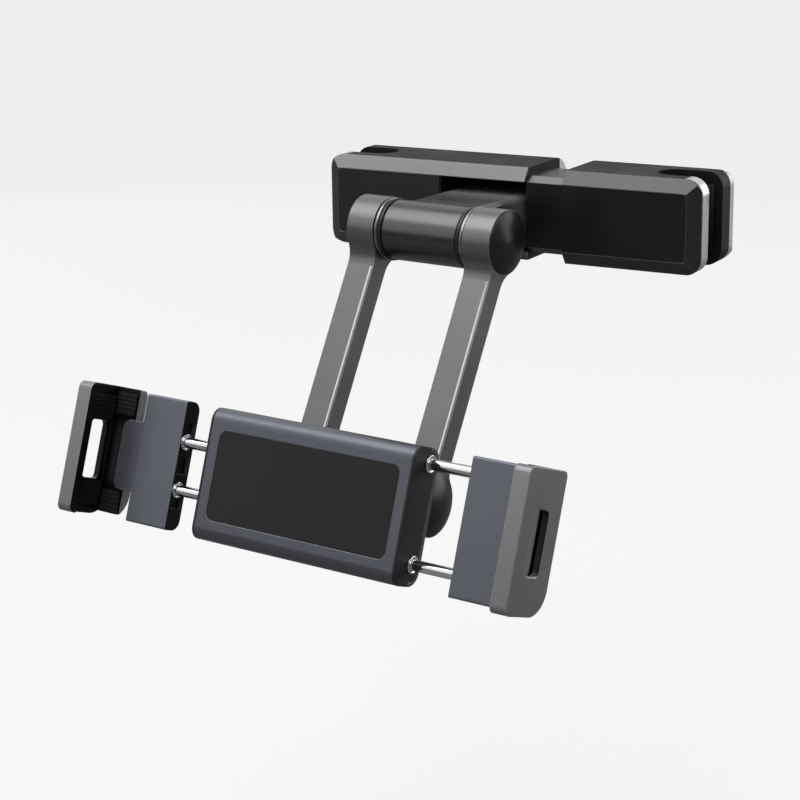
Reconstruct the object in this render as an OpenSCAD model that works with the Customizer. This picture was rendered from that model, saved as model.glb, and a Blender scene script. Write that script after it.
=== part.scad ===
// Headrest tablet mount: a spring-loaded clamp that grips the two posts of a car headrest,
// a short swinging arm, a double-bar link with two tilt joints, and a turning tablet holder
// whose jaws run out on chrome rods. Millimetres, +Z up. The origin is on the axis of the
// left headrest post, half-way up the clamp. +X runs along the clamp, +Y towards the seat.

/* [Headrest clamp] */
// Height of both clamp housings
clamp_h = 45.6; // [40:0.2:55]
// Length of the fixed housing
base_len = 111; // [106:1:130]
// Length of the sliding housing
slider_len = 70; // [66:1:90]
// How far the slider stands out at rest
slider_out = 20; // [5:1:20]
// Depth of the jaws in front of the posts
front_jaw = 12.5; // [10:0.5:16]
// Depth of the jaws behind the posts
rear_jaw = 19.5; // [16:0.5:24]
// Radius of the lined post slot
post_r = 7.5; // [5:0.25:8]
// Thickness of the rubber slot liner
liner_t = 1.5; // [1:0.1:2]
// Distance from a housing's outer end to the post axis
post_in = 20; // [14:0.5:22]
// Height of the sloping edge round the front
bevel_h = 6.5; // [4:0.1:7]
// Depth of the sloping edge round the front
bevel_d = 4.5; // [3:0.1:5]
// Radius of the outer corners seen from the front
corner_r = 8; // [5:0.5:10]
// Radius of the long rear edges
rear_r = 14; // [8:0.5:15]
// Thickness of the front panels
panel_t = 1.2; // [0.8:0.1:1.4]
// Depth of the rear covers
rear_cover_d = 9.5; // [7:0.5:12]
// Width of the bright band round the front jaws' ends
trim_w = 7.8; // [5:0.1:7.8]
// Thickness of that band
trim_t = 1.2; // [0.8:0.1:2]

/* [Telescopic rail] */
// How far the rail's front stands back from the panels
rail_back = 2.5; // [2.2:0.1:3.5]
// How much lower the rail is than the housings, top and bottom
rail_drop = 4; // [3:0.1:5]
// Length of rail left inside the slider at rest
rail_grip = 18.5; // [14:0.5:20]
// Wall of the rail
rail_wall = 3; // [2:0.1:4]
// Radius of the clamp spring, to the wire's centre
spring_r = 5; // [4:0.1:7]
// Wire diameter of the clamp spring
spring_wire = 1.4; // [1:0.1:2]

/* [Swing arm] */
// Width of the arm and of the hinge barrels
arm_w = 41.6; // [36:0.2:43]
// Height of the arm
arm_h = 26.6; // [22:0.2:28]
// Distance from the swing axis to the upper tilt axis
arm_len = 55; // [48:1:80]
// Gap between the arm and the fixed housing's inner end
arm_side_gap = 1.2; // [1:0.1:3]
// How far the swing axis lies behind the front panels
swing_back = 15.5; // [13:0.1:16]
// Height of the arm's middle above the clamp's middle
arm_z = -4.5; // [-5:0.1:-4]
// Radius of the swing bolt
bolt_r = 5; // [3:0.1:6]
// Swing of the arm at rest, front end to the left
swing_rest = 6.2; // [0:0.1:8]

/* [Link bars] */
// Distance between the two tilt axes
link_len = 127; // [100:1:160]
// Lean of the bars from the vertical at rest
link_lean = 29.2; // [0:0.1:45]
// Width of each bar
bar_w = 15.1; // [12:0.1:18]
// Depth of each bar
bar_d = 10.5; // [8:0.1:14]
// Radius of the knuckles at the ends of the bars
knuckle_r = 15.4; // [13:0.1:18]
// Radius of the hollow where a bar meets its knuckle
neck_r = 11; // [6:0.5:16]
// Radius of the hinge barrels
barrel_r = 14.5; // [12:0.1:15]
// Radius of the hinge axles
axle_r = 4; // [3:0.1:6]
// Width of the gap that holds a friction ring
ring_gap = 4.8; // [4:0.1:6]
// Height of the domed end caps
cap_h = 4.5; // [3:0.1:6]

/* [Holder body] */
// Width of the holder body
body_w = 115; // [110:1:140]
// Height of body, slides and hooks
body_h = 62; // [62:0.5:80]
// Depth of the holder body
body_d = 19.5; // [19:0.5:24]
// Depth of the dark middle section, front to parting plane
core_d = 12; // [11:0.5:13]
// Depth of the front cover, which is the radius of its long edges
cover_edge_d = 6; // [5:0.1:6.4]
// Bare margin beside the front panel
front_panel_side = 6.5; // [4:0.5:15]
// Bare margin above and below the front panel
front_panel_edge = 10; // [7:0.5:16]
// Backward lean of the holder at rest
holder_lean = 19.3; // [0:0.1:45]
// Distance from the holder's front to the lower tilt axis
holder_reach = 47.2; // [44:0.1:60]
// Height of the lower tilt axis above the holder's middle
holder_rise = 5; // [0:0.5:8]
// Radius of the turning disc
disc_r = 20; // [16:0.5:24]
// Radius of the spigot that the holder turns on
spigot_r = 6; // [4:0.1:6]

/* [Jaws] */
// Radius of the guide rods
rod_r = 2.6; // [2:0.1:3]
// Depth of the rod axes behind the holder's front
rod_y = 13; // [12.6:0.1:13.4]
// Half the spacing of the left pair of rods
left_rod_z = 11.5; // [11.2:0.1:12]
// Height of the lower right rod below the holder's middle
low_rod_z = 21.1; // [20:0.1:24]
// Length of each slide
slide_len = 24.8; // [22:0.2:40]
// How far the slides stand out at rest
slide_out = 23.5; // [10:0.5:23.5]
// Length of rod beyond the holder's middle at rest
rod_past = 29.5; // [20:0.5:29.5]
// Length of each hook along the jaw
hook_len = 17; // [15:0.2:24]
// How far the left hook is pulled out at rest
left_hook_out = 8.6; // [0:0.1:12]
// Thickness of the hook's end wall
hook_wall = 3.2; // [2.5:0.1:4]
// How far the hook's lip stands in front of the holder's front
lip_front = 12; // [10:0.5:16]
// Thickness of the lip
lip_t = 4.7; // [3:0.1:6]
// How far the lip reaches over the tablet
lip_reach = 8; // [6:0.5:12]
// Width of the cable slot through the hook
cable_w = 11.7; // [8:0.1:13]
// Height of the cable slot
cable_h = 28.6; // [20:0.2:34]

/* [Gear] */
// Teeth on the pinion that keeps the two jaws even
pinion_teeth = 9; // [9:1:9]
// Tooth module of pinion and toothed rods
gear_module = 1; // [1:0.01:1.05]
// Thickness of the pinion
pinion_t = 4; // [3:0.5:5]

/* [Hidden] */
$fn = 64;
eps = 0.01;
run_clear = 0.05;
slide_clear = 0.3;
face_gap = 0.1;

// Clamp
liner_y = post_r + liner_t;
front_y = -liner_y - front_jaw;
rear_y = liner_y + rear_jaw;
rim_y = front_y + bevel_d;
cover_y = rear_y - rear_cover_d;
panel_h = clamp_h - 2*bevel_h;
slot_floor = post_in + liner_y;
base_x0 = -post_in;
base_x1 = base_x0 + base_len;
slider_x0 = base_x1 + slider_out;
slider_x1 = slider_x0 + slider_len;
panel_r = 2.5;
rear_corner = 6;

// Rail
rail_y0 = front_y + rail_back;
rail_h = clamp_h - 2*rail_drop;
rail_y1 = cover_y - rail_wall;
rail_bevel = 3;
rail_r = 8;
rail_plate_t = 1;
rail_x1 = slider_x0 + rail_grip;
cavity_end = slider_len - slot_floor - 2;
spring_x0 = base_x1 + rail_wall;
spring_x1 = slider_x0 + cavity_end;
spring_y = (rail_y0 + rail_y1)/2;
spring_turns = 9;

// Arm
swing_in = arm_w/2 + arm_side_gap;
swing_x = base_x1 - swing_in;
swing_y = front_y + swing_back;
arm_z0 = arm_z - arm_h/2;
arm_z1 = arm_z + arm_h/2;
arm_edge = 3.5;
washer_t = 0.6;
mouth_z0 = arm_z0 - washer_t;
mouth_z1 = panel_h/2;
mouth_gap = 3.7;
mouth_x0 = swing_x - arm_w/2 - mouth_gap;
mouth_side_in = 8;
pocket_r = arm_w/2 + 0.7;
bolt_up = 18;
bolt_head_r = bolt_r + 3.5;
bolt_head_t = 2.6;

// Link
bar_x0 = arm_w/2 + ring_gap;
bar_x1 = bar_x0 + bar_w;
ring_r = barrel_r + 0.6;
ring_core_r = barrel_r - 1.8;
cap_r = knuckle_r - 0.3;
trim_line_w = 1;
trim_line_d = 0.6;
trim_y = -bar_d/2;
trim_z0 = -link_len + knuckle_r + 6;
trim_z1 = -knuckle_r - 6;
ring_groove = 0.9;

// Holder, in its own frame: front face at y = 0, middle at the origin
body_x = body_w/2;
body_z = body_h/2;
end_wall = 4;
mid_wall_x = 22;
mid_wall = 3;
plug_clear = 0.2;
cover_t = 2;
rear_wall = 2.4;
rear_edge_r = 7;
pitch_r = gear_module*pinion_teeth/2;
pitch_above_rod = rod_r - gear_module;
pinion_z = left_rod_z + pitch_above_rod + pitch_r;
top_rod_z = pinion_z + pitch_r + pitch_above_rod;
slide_x0 = body_x + slide_out;
slide_y0 = 9;
slide_y1 = 19;
slide_edge_r = 5;
rod_in_slide = 12;
tongue_len = 12.2;
tongue_h = 34;
tongue_y1 = 13;
plate_h = 16.4;
plate_y0 = 13.5;
plate_y1 = 16.4;
plate_len = 20;
hook_y0 = 13.4;
hook_top_r = 3;
hook_low_r = 12;
lip_cut = 3.5;
pad_t = 1.3;
grip_pad = 1.2;
bush_r = 3.4;
bush_flange_r = 4.2;
bush_flange_t = 0.8;
pinion_bore = 1.5;
pressure_angle = 25;
backlash = 0.2;
rack_tip = 0.75*gear_module;
rack_root = 1.15*gear_module;
tooth_pitch = PI*gear_module;
spigot_washer_r = 8.5;
spigot_washer_t = 2;
disc_t = 4;
washer_y = body_d - rear_wall - face_gap;
spigot_screw_in = 10;
rod_list_left = [left_rod_z, -left_rod_z];
rod_list_right = [top_rod_z, -low_rod_z];
rod_list_all = concat(rod_list_left, rod_list_right);
left_hook_x = slide_x0 + slide_len + left_hook_out;
right_hook_x = slide_x0 + slide_len;
plate_pocket = plate_len + 1;
cable_y0 = -2.4;
cable_r = 2.5;
pad_from_end = 7;
pad_half_h = 5.5;
wall_pad_in = 4;
face_pocket_z = [-16.5, 0, 16.5];
face_pocket_half = 4;
face_pocket_d = 1.5;
front_panel_r = 4;
front_panel_w = body_w - 2*front_panel_side;
front_panel_h = body_h - 2*front_panel_edge;
end_plate_t = 1.2;
floor_t = 2;

// Screws
screw_r = 1.5;
screw_head_r = 3;
screw_head_t = 1.6;
screw_len = 11.5;
base_screw_x = [16, base_len - swing_in];
slider_screw_x = [12, slider_len - 12];
holder_screw_in = 17.5;
holder_screw_x = [-body_x + holder_screw_in, body_x - holder_screw_in];
holder_screw_z = [-(left_rod_z + low_rod_z)/2, pinion_z];

// Rectangle with its own radius at each corner: r = [low left, low right, high right, high left]
module rrect(x0, y0, x1, y1, r) {
    polygon([[x0 + r[0], y0], [x1 - r[1], y0], [x1, y0 + r[1]], [x1, y1 - r[2]],
             [x1 - r[2], y1], [x0 + r[3], y1], [x0, y1 - r[3]], [x0, y0 + r[0]]]);
    if (r[0] > 0) translate([x0 + r[0], y0 + r[0]]) circle(r[0]);
    if (r[1] > 0) translate([x1 - r[1], y0 + r[1]]) circle(r[1]);
    if (r[2] > 0) translate([x1 - r[2], y1 - r[2]]) circle(r[2]);
    if (r[3] > 0) translate([x0 + r[3], y1 - r[3]]) circle(r[3]);
}

// A flat shape drawn in (y, z), drawn out along X from x0 to x1
module along_x(x0, x1) {
    translate([x0, 0, 0]) rotate([90, 0, 90]) linear_extrude(x1 - x0) children();
}

// A flat shape drawn in (x, z), drawn out along Y from y0 to y1
module along_y(y0, y1) {
    translate([0, y1, 0]) rotate([90, 0, 0]) linear_extrude(y1 - y0) children();
}

module rod_x(r, x0, x1) {
    translate([x0, 0, 0]) rotate([0, 90, 0]) cylinder(r = r, h = x1 - x0);
}

module rod_y_axis(r, y0, y1) {
    translate([0, y1, 0]) rotate([90, 0, 0]) cylinder(r = r, h = y1 - y0);
}

module block(x0, x1, y0, y1, z0, z1) {
    translate([x0, y0, z0]) cube([x1 - x0, y1 - y0, z1 - z0]);
}

// Outer form of a clamp housing: outer end at x = 0, inner end at x = len.
// "shrink" makes the same form smaller all round, for what lies under a band.
module housing_form(len, shrink = 0) {
    h = clamp_h/2 - shrink;
    intersection() {
        along_x(shrink, len) {
            polygon([[front_y, -h + bevel_h], [rim_y, -h], [rim_y, h], [front_y, h - bevel_h]]);
            rrect(rim_y - eps, -h, rear_y - shrink, h, [0, rear_r, rear_r, 0]);
        }
        translate([0, 0, -clamp_h]) linear_extrude(2*clamp_h)
            union() {
                polygon([[shrink + bevel_h, front_y], [len, front_y], [len, rim_y + eps], [shrink, rim_y + eps],
                         [shrink, rim_y]]);
                rrect(shrink, rim_y, len, rear_y, [0, 0, 0, rear_corner]);
            }
        along_y(front_y - 1, rear_y + 1)
            rrect(shrink, -h, len, h, [corner_r, 0, 0, corner_r]);
    }
}

// The slot that a headrest post slides into from the outer end
module post_slot(half_w, z) {
    translate([0, 0, -z]) linear_extrude(2*z) {
        translate([-1, -half_w]) square([post_in + 1, 2*half_w]);
        translate([post_in, 0]) circle(half_w);
    }
}

module panel_outline(len, cut) {
    rrect(bevel_h, -panel_h/2, len - cut, panel_h/2, [panel_r, 0, 0, panel_r]);
}

module end_band_zone() {
    block(-1, corner_r + 1, rim_y + 0.2, rim_y + 0.2 + trim_w, -clamp_h, clamp_h);
}

// The sloping frame round the front of a housing
module frame_form(len) {
    difference() {
        intersection() {
            housing_form(len);
            block(-1, len + 1, front_y - 1, rim_y, -clamp_h, clamp_h);
        }
        along_y(front_y - 1, front_y + panel_t) panel_outline(len, -1);
    }
}

module core_form(len) {
    difference() {
        intersection() {
            housing_form(len);
            block(-1, len + 1, rim_y, cover_y, -clamp_h, clamp_h);
        }
        post_slot(liner_y, clamp_h);
        difference() {
            end_band_zone();
            housing_form(len, trim_t);
        }
    }
}

module end_trim_form(len) {
    intersection() {
        difference() {
            housing_form(len);
            housing_form(len, trim_t);
        }
        end_band_zone();
    }
}

module rear_screw(x) {
    translate([x, 0, 0]) {
        rod_y_axis(screw_head_r, rear_y - screw_head_t, rear_y);
        rod_y_axis(screw_r, rear_y - screw_len, rear_y - screw_head_t + eps);
    }
}

module rear_screw_holes(xs) {
    for (x = xs) rear_screw(x);
}

module rear_cover_form(len, xs) {
    difference() {
        intersection() {
            housing_form(len);
            block(-1, len + 1, cover_y, rear_y + 1, -clamp_h, clamp_h);
        }
        rear_screw_holes(xs);
    }
}

module liner_form() {
    h = panel_h/2;
    difference() {
        translate([0, 0, -h]) linear_extrude(2*h) {
            translate([corner_r/2, -liner_y]) square([post_in - corner_r/2, 2*liner_y]);
            translate([post_in, 0]) circle(liner_y);
        }
        post_slot(post_r, clamp_h);
    }
}

module at_base() {
    translate([base_x0, 0, 0]) children();
}

module at_slider() {
    translate([slider_x1, 0, 0]) mirror([1, 0, 0]) children();
}

// The opening that the arm comes out of, with its round pocket behind
module mouth_cut(x0, z0, z1) {
    translate([0, 0, z0]) linear_extrude(z1 - z0) {
        translate([x0, front_y - 1]) square([base_x1 + 1 - x0, swing_y - front_y + 1]);
        translate([swing_x, swing_y]) circle(pocket_r);
        translate([swing_x, swing_y - 1]) square([base_x1 + 1 - swing_x, mouth_side_in + 1]);
    }
}

module arm_mouth() {
    mouth_cut(mouth_x0, mouth_z0, mouth_z1);
}

// The fixed housing's dark middle body, before it is parted round the mouth
module base_body() {
    difference() {
        at_base() core_form(base_len);
        at_base() rear_screw_holes(base_screw_x);
    }
}

module base_core() {
    color("#2b2b2f") intersection() {
        base_body();
        block(base_x0 - 1, mouth_x0, front_y - 1, rear_y + 1, -clamp_h, clamp_h);
    }
}

module base_mouth_roof() {
    color("#2b2b2f") intersection() {
        base_body();
        block(mouth_x0, base_x1 + 1, front_y - 1, rear_y + 1, mouth_z1, clamp_h);
    }
}

module base_mouth_floor() {
    color("#2b2b2f") difference() {
        intersection() {
            base_body();
            block(mouth_x0, base_x1 + 1, front_y - 1, rear_y + 1, -clamp_h, mouth_z0);
        }
        translate([swing_x, swing_y, -clamp_h]) cylinder(r = bolt_r, h = clamp_h);
        translate([swing_x, swing_y, -clamp_h/2 - 1]) cylinder(r = bolt_head_r, h = bolt_head_t + 1);
    }
}

module base_mouth_back() {
    color("#2b2b2f") difference() {
        intersection() {
            base_body();
            block(mouth_x0, base_x1 + 1, front_y - 1, rear_y + 1, mouth_z0, mouth_z1);
        }
        mouth_cut(mouth_x0 - 1, mouth_z0 - 1, mouth_z1 + 1);
    }
}

module base_frame() {
    color("#8f8f93") difference() {
        at_base() frame_form(base_len);
        arm_mouth();
    }
}

module base_panel() {
    color("#1d1d20") at_base() along_y(front_y, front_y + panel_t)
        rrect(bevel_h, -panel_h/2, mouth_x0 - base_x0, panel_h/2, [panel_r, 0, 0, panel_r]);
}

module base_end_trim() {
    color("#c9c9cc") at_base() end_trim_form(base_len);
}

module base_rear_cover() {
    color("#8f8f93") at_base() rear_cover_form(base_len, base_screw_x);
}

module base_slot_liner() {
    color("#161616") at_base() liner_form();
}

module base_screws() {
    color("#b0b0b0") at_base() rear_screw_holes(base_screw_x);
}

// Section of the rail in (y, z), made smaller all round by "inset"
module rail_section(inset = 0) {
    h = rail_h/2 - inset;
    y0 = rail_y0 + inset;
    y1 = rail_y1 - inset;
    polygon([[y0, -h + rail_bevel], [y0 + rail_bevel, -h], [y0 + rail_bevel, h], [y0, h - rail_bevel]]);
    rrect(y0 + rail_bevel - eps, -h, y1, h, [0, rail_r - inset, rail_r - inset, 0]);
}

module rail() {
    color("#9a9a9e") difference() {
        along_x(base_x1, rail_x1) rail_section();
        along_x(base_x1 + rail_wall, rail_x1 + 1) rail_section(rail_wall);
        block(base_x1 - 1, rail_x1 + 1, rail_y0 - 1, rail_y0 + rail_plate_t, -rail_h/2 + rail_bevel,
              rail_h/2 - rail_bevel);
    }
}

module rail_front_plate() {
    color("#1d1d20") block(base_x1, rail_x1, rail_y0, rail_y0 + rail_plate_t, -rail_h/2 + rail_bevel,
                           rail_h/2 - rail_bevel);
}

// One closed tube swept round a helix, ring after ring of points
module helix_tube(r, wire_r, length, turns, steps, sides) {
    n = turns*steps;
    pts = [for (i = [0:n]) for (k = [0:sides - 1])
        let (a = 360*i/steps, b = 360*k/sides, rr = r + wire_r*cos(b))
        [rr*cos(a), rr*sin(a), wire_r + (length - 2*wire_r)*i/n + wire_r*sin(b)]];
    sides_faces = [for (i = [0:n - 1]) for (k = [0:sides - 1])
        [i*sides + k, i*sides + (k + 1) % sides, (i + 1)*sides + (k + 1) % sides, (i + 1)*sides + k]];
    cap0 = [[for (k = [sides - 1:-1:0]) k]];
    cap1 = [[for (k = [0:sides - 1]) n*sides + k]];
    polyhedron(pts, concat(cap0, sides_faces, cap1), convexity = 10);
}

module clamp_spring() {
    color("#b8b8b8") translate([spring_x0, spring_y, 0]) rotate([0, 90, 0])
        helix_tube(spring_r, spring_wire/2, spring_x1 - spring_x0, spring_turns, 12, 6);
}

module slider_core() {
    color("#2b2b2f") difference() {
        at_slider() core_form(slider_len);
        along_x(slider_x0 - 1, slider_x0 + cavity_end) rail_section(-slide_clear);
        at_slider() rear_screw_holes(slider_screw_x);
    }
}

module slider_frame() {
    color("#7f7f83") difference() {
        at_slider() frame_form(slider_len);
        along_x(slider_x0 - 1, slider_x0 + cavity_end) rail_section(-slide_clear);
    }
}

module slider_panel() {
    color("#1d1d20") at_slider() along_y(front_y, front_y + panel_t) panel_outline(slider_len, 0);
}

module slider_end_trim() {
    color("#c9c9cc") at_slider() end_trim_form(slider_len);
}

module slider_rear_cover() {
    color("#8f8f93") at_slider() rear_cover_form(slider_len, slider_screw_x);
}

module slider_slot_liner() {
    color("#161616") at_slider() liner_form();
}

module slider_screws() {
    color("#b0b0b0") at_slider() rear_screw_holes(slider_screw_x);
}

// Frame of the arm: swing axis at the origin, arm pointing to -Y, clamp's mid-height at z = 0
module at_arm() {
    translate([swing_x, swing_y, 0]) rotate([0, 0, -swing_rest]) children();
}

module arm_section(half) {
    rrect(half ? 0 : -arm_w/2, arm_z0, arm_w/2, arm_z1, half ? [0, 1, arm_edge, 0] : [1, 1, arm_edge, arm_edge]);
}

module swing_arm() {
    color("#3a3a3e") at_arm() difference() {
        union() {
            along_y(-arm_len, 0) arm_section(false);
            rotate_extrude() arm_section(true);
            translate([0, -arm_len, arm_z]) rod_x(barrel_r, -arm_w/2, arm_w/2);
        }
        translate([0, 0, arm_z0 - 1]) cylinder(r = bolt_r + run_clear, h = bolt_up + 1);
        translate([0, -arm_len, arm_z]) rod_x(axle_r + run_clear, -arm_w, arm_w);
    }
}

module swing_bolt() {
    color("#b0b0b0") translate([swing_x, swing_y, 0]) {
        translate([0, 0, -clamp_h/2]) cylinder(r = bolt_head_r, h = bolt_head_t);
        translate([0, 0, -clamp_h/2]) cylinder(r = bolt_r, h = clamp_h/2 + arm_z0 + bolt_up - 0.5);
    }
}

module swing_washer() {
    color("#d8d8d0") translate([swing_x, swing_y, mouth_z0]) difference() {
        cylinder(r = arm_w/2 - 2, h = washer_t);
        translate([0, 0, -1]) cylinder(r = bolt_r + run_clear, h = washer_t + 2);
    }
}

// Frame of the link: upper tilt axis along X at the origin, bars going down along -Z
module at_link() {
    at_arm() translate([0, -arm_len, arm_z]) rotate([-link_lean, 0, 0]) children();
}

// Side view of a bar in (y, z): knuckles at both ends, with a hollow neck on each side
module bar_profile() {
    h = bar_d/2;
    s = sqrt(pow(knuckle_r + neck_r, 2) - pow(h + neck_r, 2));
    k = knuckle_r/(knuckle_r + neck_r);
    circle(knuckle_r);
    translate([0, -link_len]) circle(knuckle_r);
    translate([-h, -link_len]) square([2*h, link_len]);
    for (up = [0, 1], side = [-1, 1]) {
        translate([0, up == 0 ? 0 : -link_len]) mirror([0, up == 0 ? 0 : 1])
            difference() {
                polygon([[0, 0], [side*(h + neck_r)*k, -s*k], [side*h, -s], [0, -s]]);
                translate([side*(h + neck_r), -s]) circle(neck_r);
            }
    }
}

module bar_trim_strip(x) {
    block(x, x + trim_line_w, trim_y, trim_y + trim_line_d, trim_z0, trim_z1);
}

module bar(x0) {
    difference() {
        along_x(x0, x0 + bar_w) bar_profile();
        rod_x(axle_r, x0 - 1, x0 + bar_w + 1);
        translate([0, 0, -link_len]) rod_x(axle_r, x0 - 1, x0 + bar_w + 1);
        translate([0, -1, 0]) bar_trim_strip(x0 + bar_w - 2*trim_line_w);
        bar_trim_strip(x0 + bar_w - 2*trim_line_w);
    }
}

module left_bar() {
    color("#77777b") at_link() bar(-bar_x1);
}

module right_bar() {
    color("#77777b") at_link() bar(bar_x0);
}

module bar_trims() {
    color("#d4d4d8") at_link() {
        bar_trim_strip(-bar_x1 + bar_w - 2*trim_line_w);
        bar_trim_strip(bar_x0 + bar_w - 2*trim_line_w);
    }
}

// A ring with a raised bright band, between a barrel and a knuckle
module friction_ring() {
    w = ring_gap - face_gap;
    difference() {
        union() {
            rod_x(ring_core_r, bar_x0 - w, bar_x0);
            rod_x(ring_r, bar_x0 - w + ring_groove, bar_x0 - ring_groove);
        }
        rod_x(axle_r, bar_x0 - w - 1, bar_x0 + 1);
    }
}

module friction_rings_upper() {
    color("#a9a9ad") at_link() {
        friction_ring();
        mirror([1, 0, 0]) friction_ring();
    }
}

module friction_rings_lower() {
    color("#a9a9ad") at_link() translate([0, 0, -link_len]) {
        friction_ring();
        mirror([1, 0, 0]) friction_ring();
    }
}

module upper_axle() {
    color("#b0b0b0") at_link() rod_x(axle_r, -bar_x1, bar_x1);
}

module lower_axle() {
    color("#b0b0b0") at_link() translate([0, 0, -link_len]) rod_x(axle_r, -bar_x1, bar_x1);
}

// Domed cap on the outer face of a knuckle
module end_cap() {
    dome = (cap_r*cap_r + cap_h*cap_h)/(2*cap_h);
    translate([bar_x1, 0, 0]) rotate([0, 90, 0]) rotate_extrude()
        intersection() {
            translate([0, cap_h - dome]) circle(dome, $fn = 128);
            square([cap_r, cap_h]);
        }
}

module upper_left_cap() {
    color("#37373b") at_link() mirror([1, 0, 0]) end_cap();
}

module upper_right_cap() {
    color("#37373b") at_link() end_cap();
}

module lower_left_cap() {
    color("#37373b") at_link() translate([0, 0, -link_len]) mirror([1, 0, 0]) end_cap();
}

module lower_right_cap() {
    color("#37373b") at_link() translate([0, 0, -link_len]) end_cap();
}

// Frame of the holder: middle of its front face at the origin, +Y into it, +Z up its face
module at_holder() {
    at_link() translate([0, 0, -link_len]) rotate([link_lean - holder_lean, 0, 0])
        translate([0, -holder_reach, -holder_rise]) children();
}

module tilt_block() {
    color("#3a3a3e") at_holder() difference() {
        union() {
            translate([0, holder_reach, holder_rise]) rod_x(barrel_r, -arm_w/2, arm_w/2);
            rod_y_axis(disc_r, body_d + face_gap, body_d + disc_t);
            hull() {
                block(-disc_r + 6, disc_r - 6, body_d + disc_t - 1, body_d + disc_t, -disc_r/2, disc_r/2 + 3);
                block(-disc_r + 3, disc_r - 3, holder_reach - 2, holder_reach, holder_rise - barrel_r + 1,
                      holder_rise + barrel_r - 1);
            }
            rod_y_axis(spigot_r, washer_y, body_d + disc_t);
        }
        translate([0, holder_reach, holder_rise]) rod_x(axle_r + run_clear, -arm_w, arm_w);
        rod_y_axis(screw_r, washer_y - 1, body_d + spigot_screw_in);
    }
}

module spigot_washer() {
    color("#b0b0b0") at_holder() difference() {
        rod_y_axis(spigot_washer_r, washer_y - spigot_washer_t, washer_y);
        rod_y_axis(screw_r, washer_y - spigot_washer_t - 1, body_d);
    }
}

module spigot_screw() {
    color("#b0b0b0") at_holder() {
        rod_y_axis(screw_head_r, washer_y - spigot_washer_t - screw_head_t, washer_y - spigot_washer_t);
        rod_y_axis(screw_r, washer_y - spigot_washer_t - screw_head_t, body_d + spigot_screw_in);
    }
}

module rod_holes(r, x0, x1, list) {
    for (z = list) translate([0, rod_y, z]) rod_x(r, x0, x1);
}

module body_section(y0, y1) {
    intersection() {
        rrect(0, -body_z, body_d, body_z, [0, rear_edge_r, rear_edge_r, 0]);
        translate([y0, -body_h]) square([y1 - y0, 2*body_h]);
    }
}

// Room inside the rear cover in (y, z), from y0 back, smaller all round by "inset"
module cover_inside(y0, inset) {
    z = body_z - cover_t - inset;
    r = rear_edge_r - 2*cover_t;
    rrect(y0, -z, body_d - rear_wall - inset, z, [0, r, r, 0]);
}

// Dark middle section: end walls, two guide walls and the floor behind the front cover
module holder_core() {
    floor_y0 = cover_edge_d;
    floor_y1 = cover_edge_d + floor_t;
    color("#232326") at_holder() difference() {
        union() {
            along_x(-body_x, body_x) difference() {
                body_section(floor_y0, core_d);
                translate([floor_y1, -body_z + cover_t]) square([body_d, body_h - 2*cover_t]);
            }
            for (side = [-1, 1]) {
                end0 = side > 0 ? body_x - end_wall : -body_x;
                mid0 = side*mid_wall_x - mid_wall/2;
                along_x(end0, end0 + end_wall) union() {
                    body_section(cover_edge_d, core_d);
                    cover_inside(core_d - 1, plug_clear);
                }
                along_x(mid0, mid0 + mid_wall) cover_inside(floor_y0 + 1, plug_clear);
                end_plate0 = side > 0 ? body_x - end_plate_t : -body_x;
                along_x(end_plate0, end_plate0 + end_plate_t) front_profile();
            }
        }
        rod_holes(rod_r + run_clear, -mid_wall_x - mid_wall, mid_wall_x + mid_wall, rod_list_all);
        rod_holes(bush_r, -body_x - 1, -body_x + end_wall + 1, rod_list_left);
        rod_holes(bush_r, body_x - end_wall - 1, body_x + 1, rod_list_right);
        translate([0, 0, pinion_z]) rod_y_axis(pinion_bore, floor_y0 - 1, floor_y1 + 1);
        for (x = holder_screw_x, z = holder_screw_z)
            translate([x, 0, z]) rod_y_axis(screw_r, floor_y0 - 1, floor_y1 + 1);
    }
}

// Front of the body in (y, z): a flat face with a curved edge at top and bottom
module front_profile() {
    intersection() {
        translate([0, -body_z]) square([cover_edge_d, body_h]);
        rrect(0, -body_z, 3*cover_edge_d, body_z, [cover_edge_d, 0, 0, cover_edge_d]);
    }
}

module front_panel_outline() {
    r = front_panel_r;
    rrect(-front_panel_w/2, -front_panel_h/2, front_panel_w/2, front_panel_h/2, [r, r, r, r]);
}

module holder_front_cover() {
    color("#8d9095") at_holder() difference() {
        along_x(-body_x + end_plate_t, body_x - end_plate_t) front_profile();
        along_y(-1, panel_t) front_panel_outline();
    }
}

module holder_panel() {
    color("#141416") at_holder() along_y(0, panel_t) front_panel_outline();
}

module holder_rear_cover() {
    color("#8d9095") at_holder() difference() {
        along_x(-body_x, body_x) difference() {
            body_section(core_d, body_d);
            cover_inside(core_d - 1, 0);
        }
        rod_y_axis(spigot_r + run_clear, core_d, body_d + 1);
        for (x = holder_screw_x, z = holder_screw_z) translate([x, 0, z]) {
            rod_y_axis(screw_r, core_d, body_d + 1);
            rod_y_axis(screw_head_r, body_d - screw_head_t, body_d + 1);
        }
    }
}

module holder_screws() {
    color("#b0b0b0") at_holder() for (x = holder_screw_x, z = holder_screw_z) translate([x, 0, z]) {
        rod_y_axis(screw_head_r, body_d - screw_head_t, body_d);
        rod_y_axis(screw_r, cover_edge_d, body_d - screw_head_t + eps);
    }
}

module rod_bush(x, z, side) {
    translate([x, rod_y, z]) difference() {
        union() {
            rod_x(bush_r, side > 0 ? -end_wall : 0, side > 0 ? 0 : end_wall);
            rod_x(bush_flange_r, side > 0 ? 0 : -bush_flange_t, side > 0 ? bush_flange_t : 0);
        }
        rod_x(rod_r + run_clear, -2*end_wall, 2*end_wall);
    }
}

module rod_bushes() {
    color("#5a5a5e") at_holder() {
        for (z = rod_list_left) rod_bush(-body_x, z, -1);
        for (z = rod_list_right) rod_bush(body_x, z, 1);
    }
}

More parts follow.
